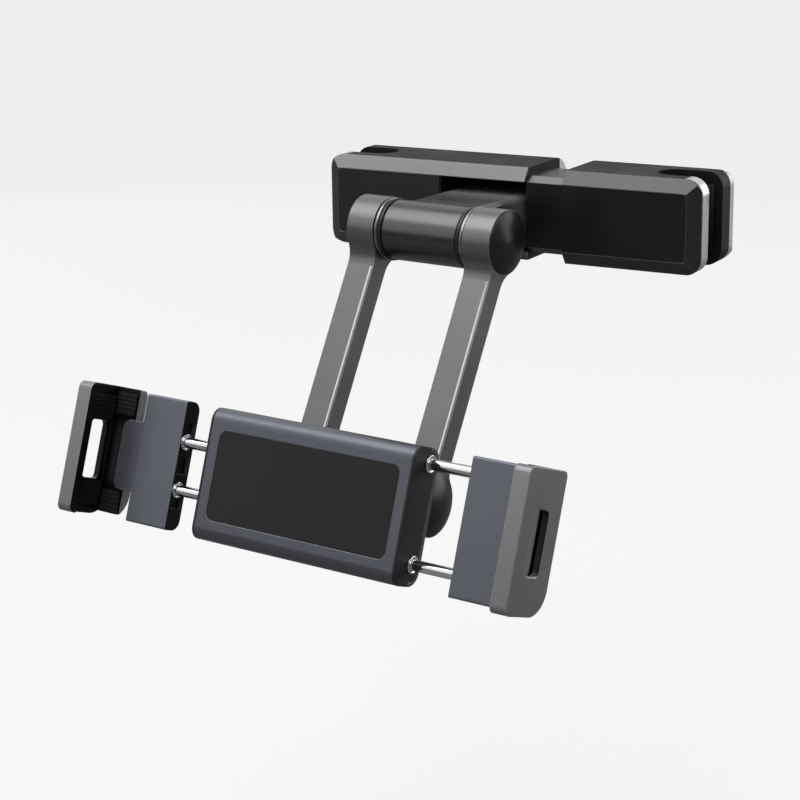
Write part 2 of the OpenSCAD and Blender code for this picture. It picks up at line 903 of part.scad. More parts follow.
// Involute of a circle of radius r at roll angle t, in degrees
function involute(r, t) = [r*(cos(t) + t*PI/180*sin(t)), r*(sin(t) - t*PI/180*cos(t))];
function turn(p, a) = [p[0]*cos(a) - p[1]*sin(a), p[0]*sin(a) + p[1]*cos(a)];

module pinion_profile() {
    base_r = pitch_r*cos(pressure_angle);
    tip_r = pitch_r + 0.9*gear_module;
    root_r = pitch_r - gear_module;
    t_pitch = tan(pressure_angle)*180/PI;
    t_tip = sqrt(pow(tip_r/base_r, 2) - 1)*180/PI;
    half = (tooth_pitch/2 - backlash)/2/pitch_r*180/PI;
    roll = atan2(involute(base_r, t_pitch)[1], involute(base_r, t_pitch)[0]) + half;
    flank = [for (i = [0:6]) turn(involute(base_r, t_tip*i/6), -roll)];
    tooth = concat([[0, 0], turn([root_r, 0], atan2(flank[0][1], flank[0][0]))], flank,
                   [for (i = [6:-1:0]) [flank[i][0], -flank[i][1]]],
                   [turn([root_r, 0], -atan2(flank[0][1], flank[0][0]))]);
    circle(root_r);
    for (i = [0:pinion_teeth - 1]) rotate(360*i/pinion_teeth) polygon(tooth);
}

module pinion() {
    color("#c2b280") at_holder() translate([0, rod_y, pinion_z]) difference() {
        along_y(-pinion_t/2, pinion_t/2) rotate(90) pinion_profile();
        rod_y_axis(pinion_bore + run_clear, -pinion_t, pinion_t);
    }
}

module pinion_pin() {
    color("#b0b0b0") at_holder() translate([0, 0, pinion_z])
        rod_y_axis(pinion_bore, cover_edge_d, body_d - rear_wall);
}

// Tooth spaces of a toothed rod, cut downwards from its top side, the middle tooth or space at x = 0
module rack_cuts(x0, x1, tooth_at_zero) {
    half_tip = (tooth_pitch/2 - backlash)/2 - rack_tip*tan(pressure_angle);
    half_root = (tooth_pitch/2 - backlash)/2 + rack_root*tan(pressure_angle);
    z_tip = pitch_above_rod + rack_tip;
    z_root = pitch_above_rod - rack_root;
    n0 = ceil(x0/tooth_pitch);
    n1 = floor(x1/tooth_pitch);
    block(x0, x1, -rod_r - 1, rod_r + 1, z_tip, rod_r + 1);
    for (i = [n0:n1 - 1]) {
        mid = (i + (tooth_at_zero ? 0 : 0.5))*tooth_pitch;
        along_y(-rod_r - 1, rod_r + 1)
            polygon([[mid + half_root, z_root], [mid + tooth_pitch - half_root, z_root],
                     [mid + tooth_pitch - half_tip, z_tip + eps], [mid + half_tip, z_tip + eps]]);
    }
}

module left_rods() {
    color("#d8d8dc") at_holder() {
        translate([0, rod_y, left_rod_z]) difference() {
            rod_x(rod_r, -slide_x0 - rod_in_slide, rod_past);
            rack_cuts(-rod_past, rod_past + 2*tooth_pitch, true);
        }
        translate([0, rod_y, -left_rod_z]) rod_x(rod_r, -slide_x0 - rod_in_slide, rod_past);
    }
}

module right_rods() {
    color("#d8d8dc") at_holder() {
        translate([0, rod_y, top_rod_z]) difference() {
            rod_x(rod_r, -rod_past, slide_x0 + rod_in_slide);
            mirror([0, 0, 1]) rack_cuts(-rod_past - 2*tooth_pitch, rod_past, false);
        }
        translate([0, rod_y, -low_rod_z]) rod_x(rod_r, -rod_past, slide_x0 + rod_in_slide);
    }
}

// A slide, drawn for the right side: box on the rods, with the tongue that the hook runs on
module slide_form(rods) {
    x1 = slide_x0 + slide_len;
    difference() {
        union() {
            along_x(slide_x0, x1)
                rrect(slide_y0, -body_z, slide_y1, body_z, [1, slide_edge_r, slide_edge_r, 1]);
            along_y(slide_y0 + 0.4, tongue_y1)
                rrect(x1 - 1, -tongue_h/2, x1 + tongue_len, tongue_h/2, [0, 4, 4, 0]);
        }
        rod_holes(rod_r, slide_x0 - 1, slide_x0 + rod_in_slide, rods);
        block(x1 - plate_pocket, x1 + 1, plate_y0 - slide_clear, plate_y1 + slide_clear,
              -plate_h/2 - slide_clear, plate_h/2 + slide_clear);
        for (z = face_pocket_z)
            block(slide_x0 - 1, slide_x0 + face_pocket_d, slide_y0 + face_pocket_d, slide_y1 - face_pocket_d,
                  z - face_pocket_half, z + face_pocket_half);
    }
}

module left_slide() {
    color("#8b9299") at_holder() mirror([1, 0, 0]) slide_form(rod_list_left);
}

module right_slide() {
    color("#8b9299") at_holder() slide_form(rod_list_right);
}

// Side view of a hook in (y, z)
module hook_side() {
    rrect(-lip_front, -body_z - 0.3, slide_y1, body_z + 0.8, [lip_cut, hook_low_r, hook_top_r, lip_cut]);
}

// The slot for a cable through a hook whose outer face is at x = x1
module cable_slot(x1) {
    along_x(x1 - hook_wall - grip_pad - 1, x1 + 1)
        rrect(cable_y0, -cable_h/2, cable_y0 + cable_w, cable_h/2, [cable_r, cable_r, cable_r, cable_r]);
}

// A hook, drawn for the right side with its inner edge at x = x0
module hook_form(x0) {
    x1 = x0 + hook_len;
    intersection() {
        along_x(x0 - plate_pocket, x1) hook_side();
        difference() {
            union() {
                block(x0 + 0.2, x1, hook_y0, slide_y1 + 1, -body_h, body_h);
                block(x1 - hook_wall, x1, -lip_front - 1, slide_y1 + 1, -body_h, body_h);
                block(x1 - lip_reach, x1, -lip_front - 1, -lip_front + lip_t, -body_h, body_h);
                block(x0 - plate_len, x0 + 2, plate_y0, plate_y1, -plate_h/2, plate_h/2);
            }
            cable_slot(x1);
        }
    }
}

module hook_pads_form(x0) {
    x1 = x0 + hook_len;
    for (side = [-1, 1])
        translate([0, 0, side*(body_z - pad_from_end)])
            block(x0 + 1, x1 - hook_wall - grip_pad, hook_y0 - pad_t, hook_y0, -pad_half_h, pad_half_h);
    difference() {
        union() {
            block(x1 - lip_reach + 0.8, x1 - hook_wall, -lip_front + lip_t, -lip_front + lip_t + grip_pad,
                  -body_z + wall_pad_in, body_z - wall_pad_in);
            block(x1 - hook_wall - grip_pad, x1 - hook_wall, -lip_front + lip_t, hook_y0 - pad_t - 1,
                  -body_z + wall_pad_in, body_z - wall_pad_in);
        }
        cable_slot(x1);
    }
}

module left_hook() {
    color("#8b9299") at_holder() mirror([1, 0, 0]) hook_form(left_hook_x);
}

module left_hook_pads() {
    color("#161616") at_holder() mirror([1, 0, 0]) hook_pads_form(left_hook_x);
}

module right_hook() {
    color("#8b9299") at_holder() hook_form(right_hook_x);
}

module right_hook_pads() {
    color("#161616") at_holder() hook_pads_form(right_hook_x);
}

base_core();
base_mouth_roof();
base_mouth_floor();
base_mouth_back();
base_frame();
base_panel();
base_end_trim();
base_rear_cover();
base_slot_liner();
base_screws();
rail();
rail_front_plate();
clamp_spring();
slider_core();
slider_frame();
slider_panel();
slider_end_trim();
slider_rear_cover();
slider_slot_liner();
slider_screws();
swing_arm();
swing_bolt();
swing_washer();
left_bar();
right_bar();
bar_trims();
friction_rings_upper();
friction_rings_lower();
upper_axle();
lower_axle();
upper_left_cap();
upper_right_cap();
lower_left_cap();
lower_right_cap();
tilt_block();
spigot_washer();
spigot_screw();
holder_core();
holder_front_cover();
holder_panel();
holder_rear_cover();
holder_screws();
rod_bushes();
pinion();
pinion_pin();
left_slide();
left_rods();
right_slide();
right_rods();
left_hook();
left_hook_pads();
right_hook();
right_hook_pads();
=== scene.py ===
import bpy
import bmesh
import math
import numpy as np
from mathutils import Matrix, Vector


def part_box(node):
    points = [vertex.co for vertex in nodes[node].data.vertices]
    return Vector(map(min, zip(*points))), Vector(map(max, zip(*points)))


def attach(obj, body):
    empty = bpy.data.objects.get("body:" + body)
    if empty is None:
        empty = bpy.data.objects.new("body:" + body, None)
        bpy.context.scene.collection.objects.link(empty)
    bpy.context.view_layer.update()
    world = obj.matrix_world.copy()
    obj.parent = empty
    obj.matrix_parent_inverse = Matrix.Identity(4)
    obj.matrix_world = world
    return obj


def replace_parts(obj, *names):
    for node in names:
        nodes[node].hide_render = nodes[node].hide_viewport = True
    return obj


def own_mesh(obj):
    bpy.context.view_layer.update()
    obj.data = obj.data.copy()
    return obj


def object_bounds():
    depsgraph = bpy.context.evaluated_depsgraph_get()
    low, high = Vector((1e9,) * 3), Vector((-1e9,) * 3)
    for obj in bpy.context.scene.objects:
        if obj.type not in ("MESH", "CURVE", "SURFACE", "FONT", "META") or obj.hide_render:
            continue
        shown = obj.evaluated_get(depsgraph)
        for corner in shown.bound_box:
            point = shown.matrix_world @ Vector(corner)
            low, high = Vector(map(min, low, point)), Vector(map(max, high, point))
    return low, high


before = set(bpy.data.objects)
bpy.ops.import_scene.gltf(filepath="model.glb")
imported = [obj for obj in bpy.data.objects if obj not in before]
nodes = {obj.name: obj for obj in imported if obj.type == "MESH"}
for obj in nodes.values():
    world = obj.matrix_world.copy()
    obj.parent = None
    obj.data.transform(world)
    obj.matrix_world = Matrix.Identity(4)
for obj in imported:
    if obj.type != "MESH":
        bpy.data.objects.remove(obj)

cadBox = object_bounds()
print("frame loaded,", len(nodes), "CAD nodes")


# where the moving frames sit, in metres
mountPose = {
    "swingAxis": (0.069, -0.006, 0.0),   # upright bolt of the arm
    "swingTurn": -6.2,                   # degrees to the left
    "armLength": 0.055,
    "armLift": -0.0045,
    "linkLean": 29.2,
    "linkLength": 0.127,
    "holderLean": 19.3,
    "holderReach": 0.0472,
    "holderRise": 0.005,
}


# 4 x 4 matrices: a shift, and turns about X and Z
def shiftBy(x, y, z):
    m = np.eye(4)
    m[:3, 3] = (x, y, z)
    return m


def turnX(degrees):
    c, s = math.cos(math.radians(degrees)), math.sin(math.radians(degrees))
    return np.array([[1, 0, 0, 0], [0, c, -s, 0], [0, s, c, 0], [0, 0, 0, 1.0]])


def turnZ(degrees):
    c, s = math.cos(math.radians(degrees)), math.sin(math.radians(degrees))
    return np.array([[c, -s, 0, 0], [s, c, 0, 0], [0, 0, 1, 0], [0, 0, 0, 1.0]])


armPlace = shiftBy(*mountPose["swingAxis"]) @ turnZ(mountPose["swingTurn"])
linkPlace = (armPlace @ shiftBy(0, -mountPose["armLength"], mountPose["armLift"])
             @ turnX(-mountPose["linkLean"]))
lowPlace = linkPlace @ shiftBy(0, 0, -mountPose["linkLength"])
holderPlace = (lowPlace @ turnX(mountPose["linkLean"] - mountPose["holderLean"])
               @ shiftBy(0, -mountPose["holderReach"], -mountPose["holderRise"]))


# camera: lens in millimetres, place in metres, turn in degrees
cameraLook = {"lens": 95.04, "sensor": 36, "clipStart": 0.05, "place": (0.53412, -0.92998, 0.18775),
              "turn": (74.5106, 0.7633, 29.2615)}

cameraData = bpy.data.cameras.new("photoCamera")
cameraData.lens = cameraLook["lens"]
cameraData.sensor_width = cameraLook["sensor"]
cameraData.clip_start = cameraLook["clipStart"]
camera = bpy.data.objects.new("photoCamera", cameraData)
camera.location = cameraLook["place"]
camera.rotation_euler = [math.radians(a) for a in cameraLook["turn"]]
bpy.context.scene.collection.objects.link(camera)
bpy.context.scene.camera = camera
bpy.context.scene.view_settings.view_transform = "Standard"
print("camera placed")


# shared shader effects: a group with its sockets, and a Math node fed with numbers or sockets
def newGroup(name, inputs, outputs):
    group = bpy.data.node_groups.new(name, "ShaderNodeTree")
    for socketName, value in inputs:
        socket = group.interface.new_socket(socketName, in_out="INPUT", socket_type="NodeSocketFloat")
        socket.default_value = value
    for socketName, kind in outputs:
        group.interface.new_socket(socketName, in_out="OUTPUT", socket_type=kind)
    return group, group.nodes.new("NodeGroupInput"), group.nodes.new("NodeGroupOutput")


def mathNode(tree, operation, a, b=None, clamp=False):
    node = tree.nodes.new("ShaderNodeMath")
    node.operation = operation
    node.use_clamp = clamp
    for index, value in enumerate((a, b)):
        if value is None:
            continue
        if isinstance(value, (int, float)):
            node.inputs[index].default_value = value
        else:
            tree.links.new(value, node.inputs[index])
    return node.outputs[0]


# noise of the grain and the faint patches; patches from "low" to "high" turn into roughness
grainLook = {"fineDetail": 3, "broadDetail": 4, "broadScale": 38, "low": 0.3, "high": 0.7}


# fine pores or paint texture: two sizes of noise, added
def makeGrainGroup():
    group, into, out = newGroup("surfaceGrain", [("Scale", 900.0), ("Coarse", 0.3)],
                                [("Height", "NodeSocketFloat"), ("Patches", "NodeSocketFloat")])
    coord = group.nodes.new("ShaderNodeTexCoord")
    fine = group.nodes.new("ShaderNodeTexNoise")
    fine.inputs["Detail"].default_value = grainLook["fineDetail"]
    group.links.new(coord.outputs["Object"], fine.inputs["Vector"])
    group.links.new(into.outputs["Scale"], fine.inputs["Scale"])
    broad = group.nodes.new("ShaderNodeTexNoise")
    broad.inputs["Detail"].default_value = grainLook["broadDetail"]
    broad.inputs["Scale"].default_value = grainLook["broadScale"]
    group.links.new(coord.outputs["Object"], broad.inputs["Vector"])
    mixed = mathNode(group, "MULTIPLY", broad.outputs[0], into.outputs["Coarse"])
    group.links.new(mathNode(group, "ADD", fine.outputs[0], mixed), out.inputs["Height"])
    group.links.new(broad.outputs[0], out.inputs["Patches"])
    return group


# rounds the shading of sharp edges, and marks them for a painted highlight: the mask is 1 less the cosine
# between the rounded and the true normal, made stronger
def makeEdgeGroup():
    group, into, out = newGroup("softEdge", [("Radius", 0.0004), ("Gain", 6.0)],
                                [("Normal", "NodeSocketVector"), ("EdgeHighlight", "NodeSocketFloat")])
    bevel = group.nodes.new("ShaderNodeBevel")
    bevel.samples = 6
    group.links.new(into.outputs["Radius"], bevel.inputs["Radius"])
    true = group.nodes.new("ShaderNodeNewGeometry")
    dot = group.nodes.new("ShaderNodeVectorMath")
    dot.operation = "DOT_PRODUCT"
    group.links.new(bevel.outputs[0], dot.inputs[0])
    group.links.new(true.outputs["Normal"], dot.inputs[1])
    lost = mathNode(group, "SUBTRACT", 1.0, dot.outputs["Value"])
    group.links.new(mathNode(group, "MULTIPLY", lost, into.outputs["Gain"], clamp=True), out.inputs["EdgeHighlight"])
    group.links.new(bevel.outputs[0], out.inputs["Normal"])
    return group


# drawn-out scratches of brushed or polished metal, along X of the object
def makeBrushGroup():
    group, into, out = newGroup("brushLines", [("Scale", 300.0), ("Stretch", 0.02)],
                                [("Height", "NodeSocketFloat")])
    coord = group.nodes.new("ShaderNodeTexCoord")
    squeeze = group.nodes.new("ShaderNodeCombineXYZ")
    group.links.new(into.outputs["Stretch"], squeeze.inputs[0])
    squeeze.inputs[1].default_value = 1
    squeeze.inputs[2].default_value = 1
    scaled = group.nodes.new("ShaderNodeVectorMath")
    scaled.operation = "MULTIPLY"
    group.links.new(coord.outputs["Object"], scaled.inputs[0])
    group.links.new(squeeze.outputs[0], scaled.inputs[1])
    noise = group.nodes.new("ShaderNodeTexNoise")
    noise.inputs["Detail"].default_value = 2
    group.links.new(scaled.outputs[0], noise.inputs["Vector"])
    group.links.new(into.outputs["Scale"], noise.inputs["Scale"])
    group.links.new(noise.outputs[0], out.inputs["Height"])
    return group


# how squarely a face has to look along an axis, and where it has to lie, for the grips' masks
gripLook = {"square": 0.8, "turned": 0.6, "wallFrom": 0.117, "lipBefore": 0.0, "plateBehind": 0.003}


# Place and facing of a point in the holder's frame, worked out with one dot product for each axis:
# slideEnds marks faces square to the rods; the second mask marks the faces that look in at the grip, for
# painted shade
def makeGripGroup():
    group, into, out = newGroup("gripMasks", [], [("slideEnds", "NodeSocketFloat"),
                                                  ("hookInsideShade", "NodeSocketFloat")])
    coord = group.nodes.new("ShaderNodeTexCoord")

    def along(axis, source, offset):
        dot = group.nodes.new("ShaderNodeVectorMath")
        dot.operation = "DOT_PRODUCT"
        group.links.new(coord.outputs[source], dot.inputs[0])
        dot.inputs[1].default_value = holderPlace[:3, axis]
        return mathNode(group, "SUBTRACT", dot.outputs["Value"], float(offset))

    look = gripLook
    middleX, middleY = holderPlace[:3, 3] @ holderPlace[:3, 0], holderPlace[:3, 3] @ holderPlace[:3, 1]
    x, y = along(0, "Object", middleX), along(1, "Object", middleY)
    facingX, facingY = along(0, "Normal", 0), along(1, "Normal", 0)
    square = mathNode(group, "GREATER_THAN", mathNode(group, "ABSOLUTE", facingX), look["square"])
    group.links.new(square, out.inputs["slideEnds"])
    inward = mathNode(group, "MULTIPLY", facingX, mathNode(group, "SIGN", x))
    farOut = mathNode(group, "GREATER_THAN", mathNode(group, "ABSOLUTE", x), look["wallFrom"])
    wall = mathNode(group, "MULTIPLY", mathNode(group, "LESS_THAN", inward, -look["turned"]), farOut)
    lip = mathNode(group, "MULTIPLY", mathNode(group, "GREATER_THAN", facingY, look["turned"]),
                   mathNode(group, "LESS_THAN", y, look["lipBefore"]))
    plate = mathNode(group, "MULTIPLY", mathNode(group, "LESS_THAN", facingY, -look["turned"]),
                     mathNode(group, "GREATER_THAN", y, look["plateBehind"]))
    both = mathNode(group, "ADD", wall, mathNode(group, "ADD", lip, plate), clamp=True)
    group.links.new(both, out.inputs["hookInsideShade"])
    return group


# distances from the barrel's axis between which its dark graphite gives way to the arm's painted lighter
# colour
barrelLook = {"start": 0.0146, "end": 0.042}


# 1 on the barrel, falling smoothly to 0 along the arm with the distance from the barrel's axis; where it
# falls, the arm's painted light takes over
def makeBarrelGroup():
    group, into, out = newGroup("barrelMask", [("Start", barrelLook["start"]), ("End", barrelLook["end"])],
                                [("barrel", "NodeSocketFloat")])
    coord = group.nodes.new("ShaderNodeTexCoord")
    centre = linkPlace[:3, 3]
    lengths = []
    for axis in (armPlace[:3, 1], armPlace[:3, 2]):
        dot = group.nodes.new("ShaderNodeVectorMath")
        dot.operation = "DOT_PRODUCT"
        group.links.new(coord.outputs["Object"], dot.inputs[0])
        dot.inputs[1].default_value = axis
        away = mathNode(group, "SUBTRACT", dot.outputs["Value"], float(axis @ centre))
        lengths.append(mathNode(group, "POWER", mathNode(group, "ABSOLUTE", away), 2.0))
    distance = mathNode(group, "SQRT", mathNode(group, "ADD", *lengths))
    fade = group.nodes.new("ShaderNodeMapRange")
    fade.interpolation_type = "SMOOTHSTEP"
    fade.inputs["To Min"].default_value = 1
    fade.inputs["To Max"].default_value = 0
    group.links.new(distance, fade.inputs["Value"])
    group.links.new(into.outputs["Start"], fade.inputs["From Min"])
    group.links.new(into.outputs["End"], fade.inputs["From Max"])
    group.links.new(fade.outputs[0], out.inputs["barrel"])
    return group


grainGroup = makeGrainGroup()
gripGroup = makeGripGroup()
maskGroups = {"slideEnds": gripGroup, "hookInsideShade": gripGroup, "barrel": makeBarrelGroup()}
edgeGroup = makeEdgeGroup()
brushGroup = makeBrushGroup()


# One material: colour with a painted highlight on its edges and faint patches, roughness that varies, grain
# as bump;
# "dark" names the mask under which the second colour and metallic value take over
def makeFinish(name, colour, edgeHighlightColour=None, rough=0.4, roughSwing=0.08, metal=0.0, grainScale=1500.0,
               grainDepth=0.00002, coarse=0.2, brushed=False, edgeRadius=0.0004, edgeGain=6.0, patch=0.12,
               coat=0.0, coatRough=0.1, specular=0.5, brushScale=900.0, dark=None,
               darkColour=(0.012, 0.012, 0.013), darkMetal=None):
    material = bpy.data.materials.new(name)
    material.use_nodes = True
    tree = material.node_tree
    shader = tree.nodes["Principled BSDF"]
    shader.inputs["Metallic"].default_value = metal
    shader.inputs["Coat Weight"].default_value = coat
    shader.inputs["Coat Roughness"].default_value = coatRough
    shader.inputs["Specular IOR Level"].default_value = specular
    grain = tree.nodes.new("ShaderNodeGroup")
    grain.node_tree = grainGroup
    grain.inputs["Scale"].default_value = grainScale
    grain.inputs["Coarse"].default_value = coarse
    edge = tree.nodes.new("ShaderNodeGroup")
    edge.node_tree = edgeGroup
    edge.inputs["Radius"].default_value = edgeRadius
    edge.inputs["Gain"].default_value = edgeGain
    # colour: darker and lighter patches, then the painted edge highlight
    patches = tree.nodes.new("ShaderNodeMix")
    patches.data_type = "RGBA"
    patches.inputs[6].default_value = (*[c * (1 - patch) for c in colour], 1)
    patches.inputs[7].default_value = (*[min(1, c * (1 + patch)) for c in colour], 1)
    tree.links.new(grain.outputs["Patches"], patches.inputs[0])
    highlighted = tree.nodes.new("ShaderNodeMix")
    highlighted.data_type = "RGBA"
    tree.links.new(edge.outputs["EdgeHighlight"], highlighted.inputs[0])
    tree.links.new(patches.outputs[2], highlighted.inputs[6])
    highlighted.inputs[7].default_value = (*(edgeHighlightColour or [min(1, c * 1.4) for c in colour]), 1)
    final = highlighted
    if dark:
        grip = tree.nodes.new("ShaderNodeGroup")
        grip.node_tree = maskGroups[dark]
        final = tree.nodes.new("ShaderNodeMix")
        final.data_type = "RGBA"
        tree.links.new(grip.outputs[dark], final.inputs[0])
        tree.links.new(highlighted.outputs[2], final.inputs[6])
        final.inputs[7].default_value = (*darkColour, 1)
        if darkMetal is not None:
            shine = tree.nodes.new("ShaderNodeMapRange")
            shine.inputs["To Min"].default_value = metal
            shine.inputs["To Max"].default_value = darkMetal
            tree.links.new(grip.outputs[dark], shine.inputs["Value"])
            tree.links.new(shine.outputs[0], shader.inputs["Metallic"])
    tree.links.new(final.outputs[2], shader.inputs["Base Color"])
    # roughness
    spread = tree.nodes.new("ShaderNodeMapRange")
    spread.inputs["From Min"].default_value = grainLook["low"]
    spread.inputs["From Max"].default_value = grainLook["high"]
    spread.inputs["To Min"].default_value = max(0.02, rough - roughSwing)
    spread.inputs["To Max"].default_value = rough + roughSwing
    tree.links.new(grain.outputs["Patches"], spread.inputs["Value"])
    tree.links.new(spread.outputs[0], shader.inputs["Roughness"])
    # grain or brush lines over the rounded normal
    height = grain.outputs["Height"]
    if brushed:
        brush = tree.nodes.new("ShaderNodeGroup")
        brush.node_tree = brushGroup
        brush.inputs["Scale"].default_value = brushScale
        height = mathNode(tree, "ADD", height, brush.outputs["Height"])
    bump = tree.nodes.new("ShaderNodeBump")
    bump.inputs["Strength"].default_value = 1
    bump.inputs["Distance"].default_value = grainDepth
    tree.links.new(height, bump.inputs["Height"])
    tree.links.new(edge.outputs["Normal"], bump.inputs["Normal"])
    tree.links.new(bump.outputs[0], shader.inputs["Normal"])
    return material


# the edge colours paint a highlight along every part's edges
finishes = {
    "clampGrey": dict(colour=(0.147, 0.147, 0.152), edgeHighlightColour=(0.5, 0.5, 0.51), rough=0.36, roughSwing=0.05,
                      metal=0.9, edgeRadius=0.0005, patch=0.05),
    # a darker copy of the clamp's grey for the slider's frame, painted shade
    "clampGreyShaded": dict(colour=(0.09, 0.09, 0.093), edgeHighlightColour=(0.34, 0.34, 0.35), rough=0.34,
                          roughSwing=0.05, metal=0.9, edgeRadius=0.0005, patch=0.05),
    "clampDark": dict(colour=(0.013, 0.013, 0.014), edgeHighlightColour=(0.09, 0.09, 0.09), rough=0.5,
                      grainDepth=0.00003, edgeRadius=0.0005, specular=0.2),
    "panelGrey": dict(colour=(0.022, 0.022, 0.023), rough=0.42, patch=0.06),
    # a darker copy of the panel colour for the slider's panel and the rail's front plate, painted shade
    "panelGreyShaded": dict(colour=(0.008, 0.008, 0.0085), rough=0.34, patch=0.06),
    "endBright": dict(colour=(0.78, 0.78, 0.79), edgeHighlightColour=(0.9, 0.9, 0.9), rough=0.28, metal=0.75,
                      brushed=True, patch=0.05),
    "rearLight": dict(colour=(0.66, 0.66, 0.67), edgeHighlightColour=(0.7, 0.7, 0.7), rough=0.4, metal=0.7,
                      patch=0.05),
    "softRubber": dict(colour=(0.012, 0.012, 0.012), rough=0.75, grainDepth=0.00005, grainScale=2500.0,
                       specular=0.3),
    "screwSteel": dict(colour=(0.40, 0.40, 0.41), rough=0.3, metal=1.0, brushed=True),
    "railGrey": dict(colour=(0.12, 0.12, 0.123), edgeHighlightColour=(0.3, 0.3, 0.3), rough=0.34, metal=0.9,
                     brushed=True, patch=0.05),
    "graphite": dict(colour=(0.155, 0.155, 0.16), edgeHighlightColour=(0.45, 0.45, 0.46), rough=0.23, roughSwing=0.04,
                     metal=1.0, edgeRadius=0.0006, patch=0.05),
    # the arm: a lighter, less metallic copy of the barrel's graphite, painted light on the arm; its
    # near-white edges are a painted highlight line
    "armLitGraphite": dict(colour=(0.36, 0.36, 0.365), edgeHighlightColour=(0.98, 0.98, 0.98), rough=0.27, roughSwing=0.04,
                     metal=0.4, edgeRadius=0.0007, edgeGain=9.0, patch=0.05, dark="barrel",
                     darkColour=(0.135, 0.135, 0.14), darkMetal=1.0),
    "domeDark": dict(colour=(0.035, 0.035, 0.037), rough=0.32, roughSwing=0.04, metal=0.5, edgeRadius=0.0003,
                     patch=0.05),
    "barGrey": dict(colour=(0.215, 0.215, 0.22), edgeHighlightColour=(0.5, 0.5, 0.51), rough=0.34, roughSwing=0.04,
                    metal=0.8, edgeRadius=0.0005, patch=0.05),
    "chrome": dict(colour=(0.86, 0.86, 0.88), edgeHighlightColour=(0.95, 0.95, 0.95), rough=0.09, roughSwing=0.03,
                   metal=1.0, grainDepth=0.000003, patch=0.03),
    "ringSteel": dict(colour=(0.30, 0.30, 0.305), edgeHighlightColour=(0.9, 0.9, 0.9), rough=0.25, metal=1.0,
                      edgeRadius=0.0003, patch=0.05),
    "collarDark": dict(colour=(0.05, 0.05, 0.052), rough=0.25, metal=0.6, edgeRadius=0.0002, patch=0.05),
    "washerWhite": dict(colour=(0.68, 0.68, 0.64), rough=0.5),
    "holderSlate": dict(colour=(0.15, 0.16, 0.185), edgeHighlightColour=(0.32, 0.33, 0.36), rough=0.36,
                        roughSwing=0.04, metal=0.75, edgeRadius=0.0005, patch=0.06),
    "slideSlate": dict(colour=(0.19, 0.20, 0.235), edgeHighlightColour=(0.34, 0.35, 0.38), rough=0.38,
                       roughSwing=0.04, metal=0.7, edgeRadius=0.0005, patch=0.05, dark="slideEnds"),
    # hooks: the faces that look in at the grip are painted near-black, painted shade of the grip's inside
    "hookGrey": dict(colour=(0.31, 0.303, 0.312), edgeHighlightColour=(0.8, 0.8, 0.81), rough=0.38, metal=0.6,
                     edgeRadius=0.0009, edgeGain=3.0, patch=0.05, dark="hookInsideShade"),
    "holderGloss": dict(colour=(0.006, 0.006, 0.007), rough=0.10, roughSwing=0.02, coat=0.15,
                        coatRough=0.06, specular=0.25, grainDepth=0.000001),
    "coreBlack": dict(colour=(0.014, 0.014, 0.016), rough=0.45, grainDepth=0.00004),
    "gearPlastic": dict(colour=(0.55, 0.5, 0.38), rough=0.45),
}
materials = {name: makeFinish(name, **values) for name, values in finishes.items()}
print("materials made:", len(materials))

nodeFinish = {
    "clampGrey": ["base_frame"],
    "clampGreyShaded": ["slider_frame"],
    "clampDark": ["base_core", "base_mouth_roof", "base_mouth_floor", "base_mouth_back", "slider_core"],
    "panelGrey": ["base_panel"],
    "panelGreyShaded": ["slider_panel", "rail_front_plate"],
    "endBright": ["base_end_trim", "slider_end_trim"],
    "rearLight": ["base_rear_cover", "slider_rear_cover"],
    "softRubber": ["base_slot_liner", "slider_slot_liner", "left_hook_pads", "right_hook_pads"],
    "screwSteel": ["base_screws", "slider_screws", "holder_screws", "clamp_spring", "swing_bolt",
                   "upper_axle", "lower_axle", "spigot_washer", "spigot_screw", "pinion_pin"],
    "railGrey": ["rail"],
    "graphite": ["tilt_block"],
    "armLitGraphite": ["swing_arm"],
    "domeDark": ["upper_left_cap", "upper_right_cap", "lower_left_cap", "lower_right_cap"],
    "barGrey": ["left_bar", "right_bar"],
    "chrome": ["bar_trims", "left_rods", "right_rods", "rod_bushes"],
    "ringSteel": ["friction_rings_upper", "friction_rings_lower"],
    "washerWhite": ["swing_washer"],
    "holderSlate": ["holder_front_cover", "holder_rear_cover"],
    "slideSlate": ["left_slide", "right_slide"],
    "hookGrey": ["left_hook", "right_hook"],
    "holderGloss": ["holder_panel"],
    "coreBlack": ["holder_core"],
    "gearPlastic": ["pinion"],
}
for finishName, names in nodeFinish.items():
    for name in names:
        for slot in nodes[name].material_slots:
            slot.material = materials[finishName]


# mesh helpers
gridWeld = 1e-7   # points of a seam or pole closer than this, in metres, are one


# Points are moved by the place's turn, then by its shift
def applyPlace(place, points):
    return points @ place[:3, :3].T + place[:3, 3]


# A profile of (x, radius) turned about X: y and z are the radius times the angle's cosine and sine
def turnedX(profile, around, side=1):
    angle = np.linspace(0, 2 * math.pi, around, endpoint=False)
    return np.stack([side * np.repeat(profile[:, 0, None], around, 1),
                     profile[:, 1, None] * np.cos(angle), profile[:, 1, None] * np.sin(angle)], -1)


# A quarter circle from a profile's side to its rim: x rises with the sine, the radius with the cosine
def quarterProfile(x, radius, soft, steps):
    turn = np.linspace(0, math.pi / 2, steps)
    return np.stack([x + soft * np.sin(turn), radius + soft * np.cos(turn)], -1)


# A tube's first and last rows are each closed by a row that lies all in their middle
def closeTube(points):
    ends = points.mean(1, keepdims=True)
    return np.concatenate([np.broadcast_to(ends[:1], points[:1].shape), points,
                           np.broadcast_to(ends[-1:], points[:1].shape)])


